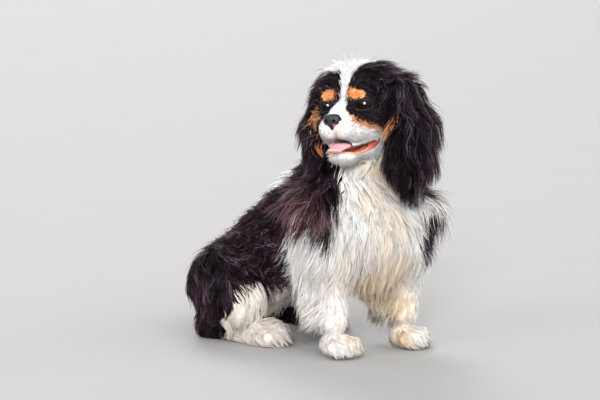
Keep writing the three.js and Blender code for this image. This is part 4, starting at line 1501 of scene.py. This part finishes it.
# Tufts to a square millimetre, their width in millimetres, tufts to a lock, how much locks turn, steps along
# each tuft, how much it curls, and what differs from the usual coat.
COATS = {
    "coat_back": (0.13, 2.6, 15, 0.3, 5, 0.55, {}),
    "coat_flank_left": (0.09, 3.1, 14, 0.3, 5, 0.55, {}),
    "coat_flank_right": (0.16, 2.4, 11, 0.42, 5, 0.85, dict(fine=0.65, lean=0.75)),
    "coat_chest": (0.24, 1.7, 12, 0.18, 5, 0.3, {}),
    "coat_neck": (0.17, 2.2, 14, 0.25, 4, 0.35, {}),
    "coat_skull": (0.40, 1.4, 8, 0.15, 3, 0.15, dict(lean=0.75, hang=2, gloss=0.8, darkest=0.78)),
    "coat_muzzle": (0.70, 0.8, 3, 0.12, 2, 0.0, dict(lean=0.8, darkest=0.78)),
    "coat_ear_left": (0.20, 2.0, 14, 0.18, 6, 0.6, dict(lean=0.9, patchy=0.85)),
    "coat_ear_right": (0.19, 2.1, 12, 0.16, 6, 0.6, dict(lean=0.9, patchy=0.85)),
    "coat_foreleg_left": (
        0.17, 1.9, 9, 0.17, 4, 0.2, dict(clump=0.7, taper=1.5, fine=0.7, stray=0.07, under=0.35, lean=0.8),
    ),
    "coat_foreleg_right": (
        0.21, 1.8, 10, 0.15, 4, 0.2, dict(clump=0.8, taper=1.6, fine=0.6, stray=0.06, under=0.2, lean=0.8),
    ),
    "coat_thigh_left": (0.08, 3.1, 12, 0.25, 4, 0.35, {}),
    "coat_thigh_right": (0.14, 2.6, 14, 0.25, 4, 0.35, {}),
    "coat_feet": (0.27, 1.4, 6, 0.35, 3, 0.15, dict(lean=0.9, taper=1.6, darkest=0.78)),
    "coat_tail": (0.10, 3.0, 12, 0.2, 4, 0.3, {}),
}
COAT_COLUMNS = ("density", "width", "every", "turn", "steps", "curl")
COATS = {name: {**USUAL_COAT, **dict(zip(COAT_COLUMNS, own)), **own[-1]} for name, own in COATS.items()}


def coat_name(points, part):
    """The coat piece that each point of the skin belongs to, from the name of its part."""
    x, y, _ = points.T
    f, _, up = to_head(points).T
    name = np.full(len(points), "coat_back", dtype="<U20")
    torso = part == "torso"
    name[torso & (x > 8)] = "coat_flank_left"
    name[torso & (x < -26 + 0.1 * (y - 60))] = "coat_flank_right"
    name[torso & (y < -58)] = "coat_chest"
    face = (part == "head") | (part == "jaw")
    name[face] = "coat_skull"
    name[face & (f > 34) & (up < 6)] = "coat_muzzle"
    for own in PARTS:
        if "coat_" + own in COATS:
            name[part == own] = "coat_" + own
        elif own.startswith(("forepaw", "hindfoot")):
            name[part == own] = "coat_feet"
    return name


def coat_names():
    """The coat piece of each of the skin's triangles, and which of them have hair, found once."""
    if "names" not in made_skin:
        points, triangles = skin_surface()
        middle = points[triangles].mean(1)
        made_skin["names"] = coat_name(middle, FORM_PARTS[nearest_parts(middle)[1]])
        q = to_head(middle)
        lip_width = np.where(below_lips(q), 3.6, 1.8)
        bare = (mouth_opening(q) < lip_width) & (np.linalg.norm(q, axis=1) < FACE_REACH)
        for s in BOTH_SIDES:
            bare |= (eye_distance(q, s) < EYE_RADIUS + 5) & (lid_opening(q, s) < 1.0)
        bare |= (capsule(q, *NOSE_GROOVE) <= 1.8) | (nose_field(q) <= 0.5) | (middle[:, 2] <= 2.5)
        made_skin["hairy"] = ~bare
    return made_skin["names"], made_skin["hairy"]


def grow_coat(name):
    """Makes one coat piece: tufts rooted in the skin, lying along the coat and drawn into locks."""
    c, make = settings(), COATS[name]
    random = np.random.default_rng([c.seed, *name.encode()])
    points, triangles = skin_surface()
    names, hairy = coat_names()
    roots = sampled(points, triangles, (names == name) & hairy, make["density"] * c.tufts, random)
    roots = seated(lambda p: body(p, c.skin_share), roots, 1)
    n = len(roots)
    weights, nearest = nearest_parts(roots)
    lead = leaders_of(roots, make["every"], random)
    path, normals, fine, loose, wisp = tuft_paths(name, roots, weights, lead, random)
    slim = np.where(wisp, WISP_WIDTH, np.where(fine | loose, FINE_WIDTH, 1.0))
    width = make["width"] * c.tuft_width * random.uniform(0.75, 1.25, n) * slim
    thick = np.where(fine, FINE_THICKNESS, THICKNESS)
    mesh, corner = tuft_mesh(name, path, normals, width, thick, make["lean"], make["taper"])
    last = path.shape[1] - 1
    number = np.arange(TUFT_SIDES * last + 1)
    ring = np.minimum(number // TUFT_SIDES, last) / last
    aside = number % TUFT_SIDES
    colour, whiteness = tuft_colours(make, roots, path, lead, FORM_PARTS[nearest], ring, random)
    store(mesh, "tint", colour.reshape(-1, 3), "FLOAT_COLOR")
    patch = np.stack([aside / 2 - 0.5, ring - 0.5], 1) * BAKE_PATCH
    store_uv(mesh, "OFBake", (unwrapped(roots)[:, None] + patch[None]).reshape(-1, 2)[corner])
    strand = np.stack([aside / TUFT_SIDES, ring], 1)[None] + random.random((n, 1, 2)) * 40
    store_uv(mesh, "Strand", strand.reshape(-1, 2)[corner])
    piece = new_object(name, mesh, bpy.data.materials.get("spaniel_coat") or coat_material())
    finish_piece(piece, "coat_white" if np.mean(whiteness) > 0.5 else "coat_black")


def tuft_paths(name, roots, weights, lead, random):
    """The tufts' points and normals, and which tufts are fine, which are in no lock and which are wisps."""
    c, make, n = settings(), COATS[name], len(roots)
    lies = np.stack([weights[:, [form.lie == kind for form in FORMS]].sum(1) for kind in LIES], 1)
    length = hair_length(name, roots, weights) * random.uniform(0.75, 1.15, n)
    turn = (0.3 * waves(roots, 60, c.seed + 1) + random.normal(0, 1, n) * make["turn"])[lead]
    turn = turn + random.normal(0, 0.06, n)
    phase = (3 * waves(roots, 40, c.seed + 2) + random.uniform(-1.2, 1.2, n))[lead]
    fine, stray = random.random(n) < make["fine"], random.random(n) < make["stray"]
    tip_share = random.uniform(0.7, 1.15, n)[lead]
    tip_share = tip_share * np.where(fine, random.uniform(0.8, 1.1, n), random.uniform(0.45, 0.95, n))
    under = random.random(n) < make["under"]
    tip_share, length = tip_share * np.where(under, 0.4, 1.0), length * np.where(under, 0.6, 1.0)
    wisp = crest(roots) > random.uniform(0, 7, n)
    tip_share = np.where(stray, 1.05 + 0.35 * random.random(n), tip_share) + extra_rise(name, roots)
    tip_share = np.where(wisp, 1.5 + 1.3 * random.random(n) ** 1.5, tip_share)
    loose = stray | wisp
    reach = make["hang"]
    if name == "coat_ear_left":
        reach = 2 + 7 * ramp(-to_head(roots)[:, 2], -12, 18)
    curl = make["curl"] * c.wave
    path, normals = hair_paths(roots, lies, length, make["steps"], tip_share, turn, phase, curl, reach)
    share = np.linspace(0, 1, path.shape[1]) ** 1.2 * c.clump * make["clump"]
    path = path + (path[lead] - path) * share[None, :, None] * ~loose[:, None, None]
    return np.clip(path, *HAIR_BOX), normals, fine, loose, wisp


def tuft_colours(make, roots, path, lead, part, ring, random):
    """The colour of each point of each tuft, darkest at the root by painted shade, and how white each tuft
    is.
    """
    n = len(roots)
    seen = roots + (path[:, make["steps"] // 2 + 1] - roots) * 0.8 + random.normal(0, 1.5, roots.shape)
    seen += (seen[lead] - seen) * make["patchy"]
    tint, whiteness, tanness = markings(seen, part)
    # Painted sheen: black locks and tufts are made lighter or darker at random, and the lightest get a blue
    # painted sheen added to their colour.
    gloss = random.normal(0.0, 0.6, n)[lead] + random.normal(0, 0.6, n)
    gloss = gloss * (1 - whiteness) ** 2 * (1 - tanness) * make["gloss"]
    tone = random.uniform(make["darkest"], 1.06, n) * random.uniform(make["darkest"] + 0.08, 1.04, n)[lead]
    tint = tint * (tone * np.exp(gloss))[:, None]
    tint = tint + np.array(PAINTED_SHEEN) * np.clip(gloss - 0.7, 0, 1)[:, None]
    pale = whiteness[:, None]
    # Painted shade: every tuft darkens towards its root, deep in the coat; black tips are lighter and rusty.
    root, tip = 0.55 + 0.34 * pale, 1.5 - 0.44 * pale
    painted_root_shade = root + (tip - root) * ring[None]
    rust = 1 + (np.array(TIP_RUST) * (1 - pale))[:, None] * ring[None, :, None]
    return np.clip(tint[:, None, :] * painted_root_shade[:, :, None] * rust, 0, LIGHTEST), whiteness


def crest(roots):
    """How far the wisps at the top of the head stand up, from 0 to 1."""
    f, left, up = to_head(roots).T
    return ramp(up, 44, 50) * ramp(10 - np.abs(left + 2), 0, 5) * ramp(16 - np.abs(f - 14), 0, 8)


def extra_rise(name, roots):
    """How much higher the hair lies on crown, ears and feet, as a share of the coat's depth."""
    f, left, up = to_head(roots).T
    rise = 0.35 * ramp(up, 30, 46) * ramp(44 - np.abs(left), 0, 16)
    if name.startswith("coat_ear"):
        rise = 0.35 * ramp(14 - f, 0, 30) * (0.6 + 0.4 * ramp(-up, -10, 25))
    return rise + 0.7 * (name == "coat_feet")


def grown(*names):
    """Grows some coat pieces, and gives what an operator answers."""
    for name in names:
        grow_coat(name)
    return {"FINISHED"}


def hair_length(name, roots, weights):
    """The length of the hair at each root, in millimetres."""
    length = weights @ np.array([form.hair for form in FORMS])
    q = to_head(roots)
    f, left, up = q.T
    side = np.abs(left)
    eye = np.minimum(*[eye_distance(q, s) for s in BOTH_SIDES])
    if name == "coat_skull":
        length = 7 + 33 * ramp(side, 6, 26) * ramp(up, 4, 30) * ramp(-f, -46, -18) + 10 * ramp(-f, -30, 0)
        below_ear = 30 * ramp(side, 43, 48) * ramp(-up, 5, 20)
        length = np.maximum.reduce([length, 24 * ramp(up, 44, 52), below_ear])
        length *= 0.3 + 0.7 * ramp(eye, 15, 34)
    if name == "coat_muzzle":
        length = np.minimum(length, 3.2 + 0.12 * np.linalg.norm(q - NOSE_PLACE, axis=1))
        length *= 0.5 + 0.5 * ramp(eye, 14, 26)
        length *= 0.2 + 0.8 * ramp(mouth_opening(q), 1.5, 9)
    if name.startswith("coat_foreleg"):
        length = np.maximum(length, 28 * ramp(-roots[:, 2], -80, -40))
    if name == "coat_feet":
        length = np.maximum(length, 15) * (1 + 0.3 * ramp(roots[:, 2], 8, 20))
    return length


class SPANIEL_OT_body_coat(bpy.types.Operator):
    """Grows the coat of back, flanks, chest and neck"""

    bl_idname = "spaniel.body_coat"
    bl_label = "Body coat"

    def execute(self, context):
        return grown("coat_back", "coat_flank_left", "coat_flank_right", "coat_chest", "coat_neck")


class SPANIEL_OT_head_coat(bpy.types.Operator):
    """Grows the short hair of skull and muzzle"""

    bl_idname = "spaniel.head_coat"
    bl_label = "Head coat"

    def execute(self, context):
        return grown("coat_skull", "coat_muzzle")


class SPANIEL_OT_ear_coat(bpy.types.Operator):
    """Grows the long wavy hair of both ears"""

    bl_idname = "spaniel.ear_coat"
    bl_label = "Ear coat"

    def execute(self, context):
        return grown("coat_ear_left", "coat_ear_right")


class SPANIEL_OT_leg_coat(bpy.types.Operator):
    """Grows the coat and feathering of legs and feet"""

    bl_idname = "spaniel.leg_coat"
    bl_label = "Leg coat"

    def execute(self, context):
        return grown(
            "coat_foreleg_left", "coat_foreleg_right", "coat_thigh_left", "coat_thigh_right", "coat_feet",
        )


class SPANIEL_OT_tail_coat(bpy.types.Operator):
    """Grows the plume of the tail"""

    bl_idname = "spaniel.tail_coat"
    bl_label = "Tail coat"

    def execute(self, context):
        return grown("coat_tail")


class SPANIEL_PT_panel(bpy.types.Panel):
    """Lists the spaniel's settings and pieces"""

    bl_idname = "SPANIEL_PT_panel"
    bl_label = "Seated Spaniel"
    bl_space_type = "VIEW_3D"
    bl_region_type = "UI"
    bl_category = "Spaniel"

    def draw(self, context):
        for operator in STEPS:
            self.layout.operator(operator.bl_idname)
        for name in SpanielSettings.__annotations__:
            self.layout.prop(context.scene.spaniel, name)


STEPS = (
    SPANIEL_OT_stage, SPANIEL_OT_skin, SPANIEL_OT_eyes, SPANIEL_OT_nose, SPANIEL_OT_tongue,
    SPANIEL_OT_claws, SPANIEL_OT_whiskers, SPANIEL_OT_body_coat, SPANIEL_OT_head_coat,
    SPANIEL_OT_ear_coat, SPANIEL_OT_leg_coat, SPANIEL_OT_tail_coat,
)
CLASSES = (SpanielSettings, *STEPS, SPANIEL_PT_panel)


def register():
    for cls in CLASSES:
        bpy.utils.register_class(cls)
    bpy.types.Scene.spaniel = PointerProperty(type=SpanielSettings)


def unregister():
    del bpy.types.Scene.spaniel
    for cls in reversed(CLASSES):
        bpy.utils.unregister_class(cls)


def main():
    register()
    for operator in STEPS:
        family, name = operator.bl_idname.split(".")
        getattr(getattr(bpy.ops, family), name)()


if __name__ == "__main__":
    main()
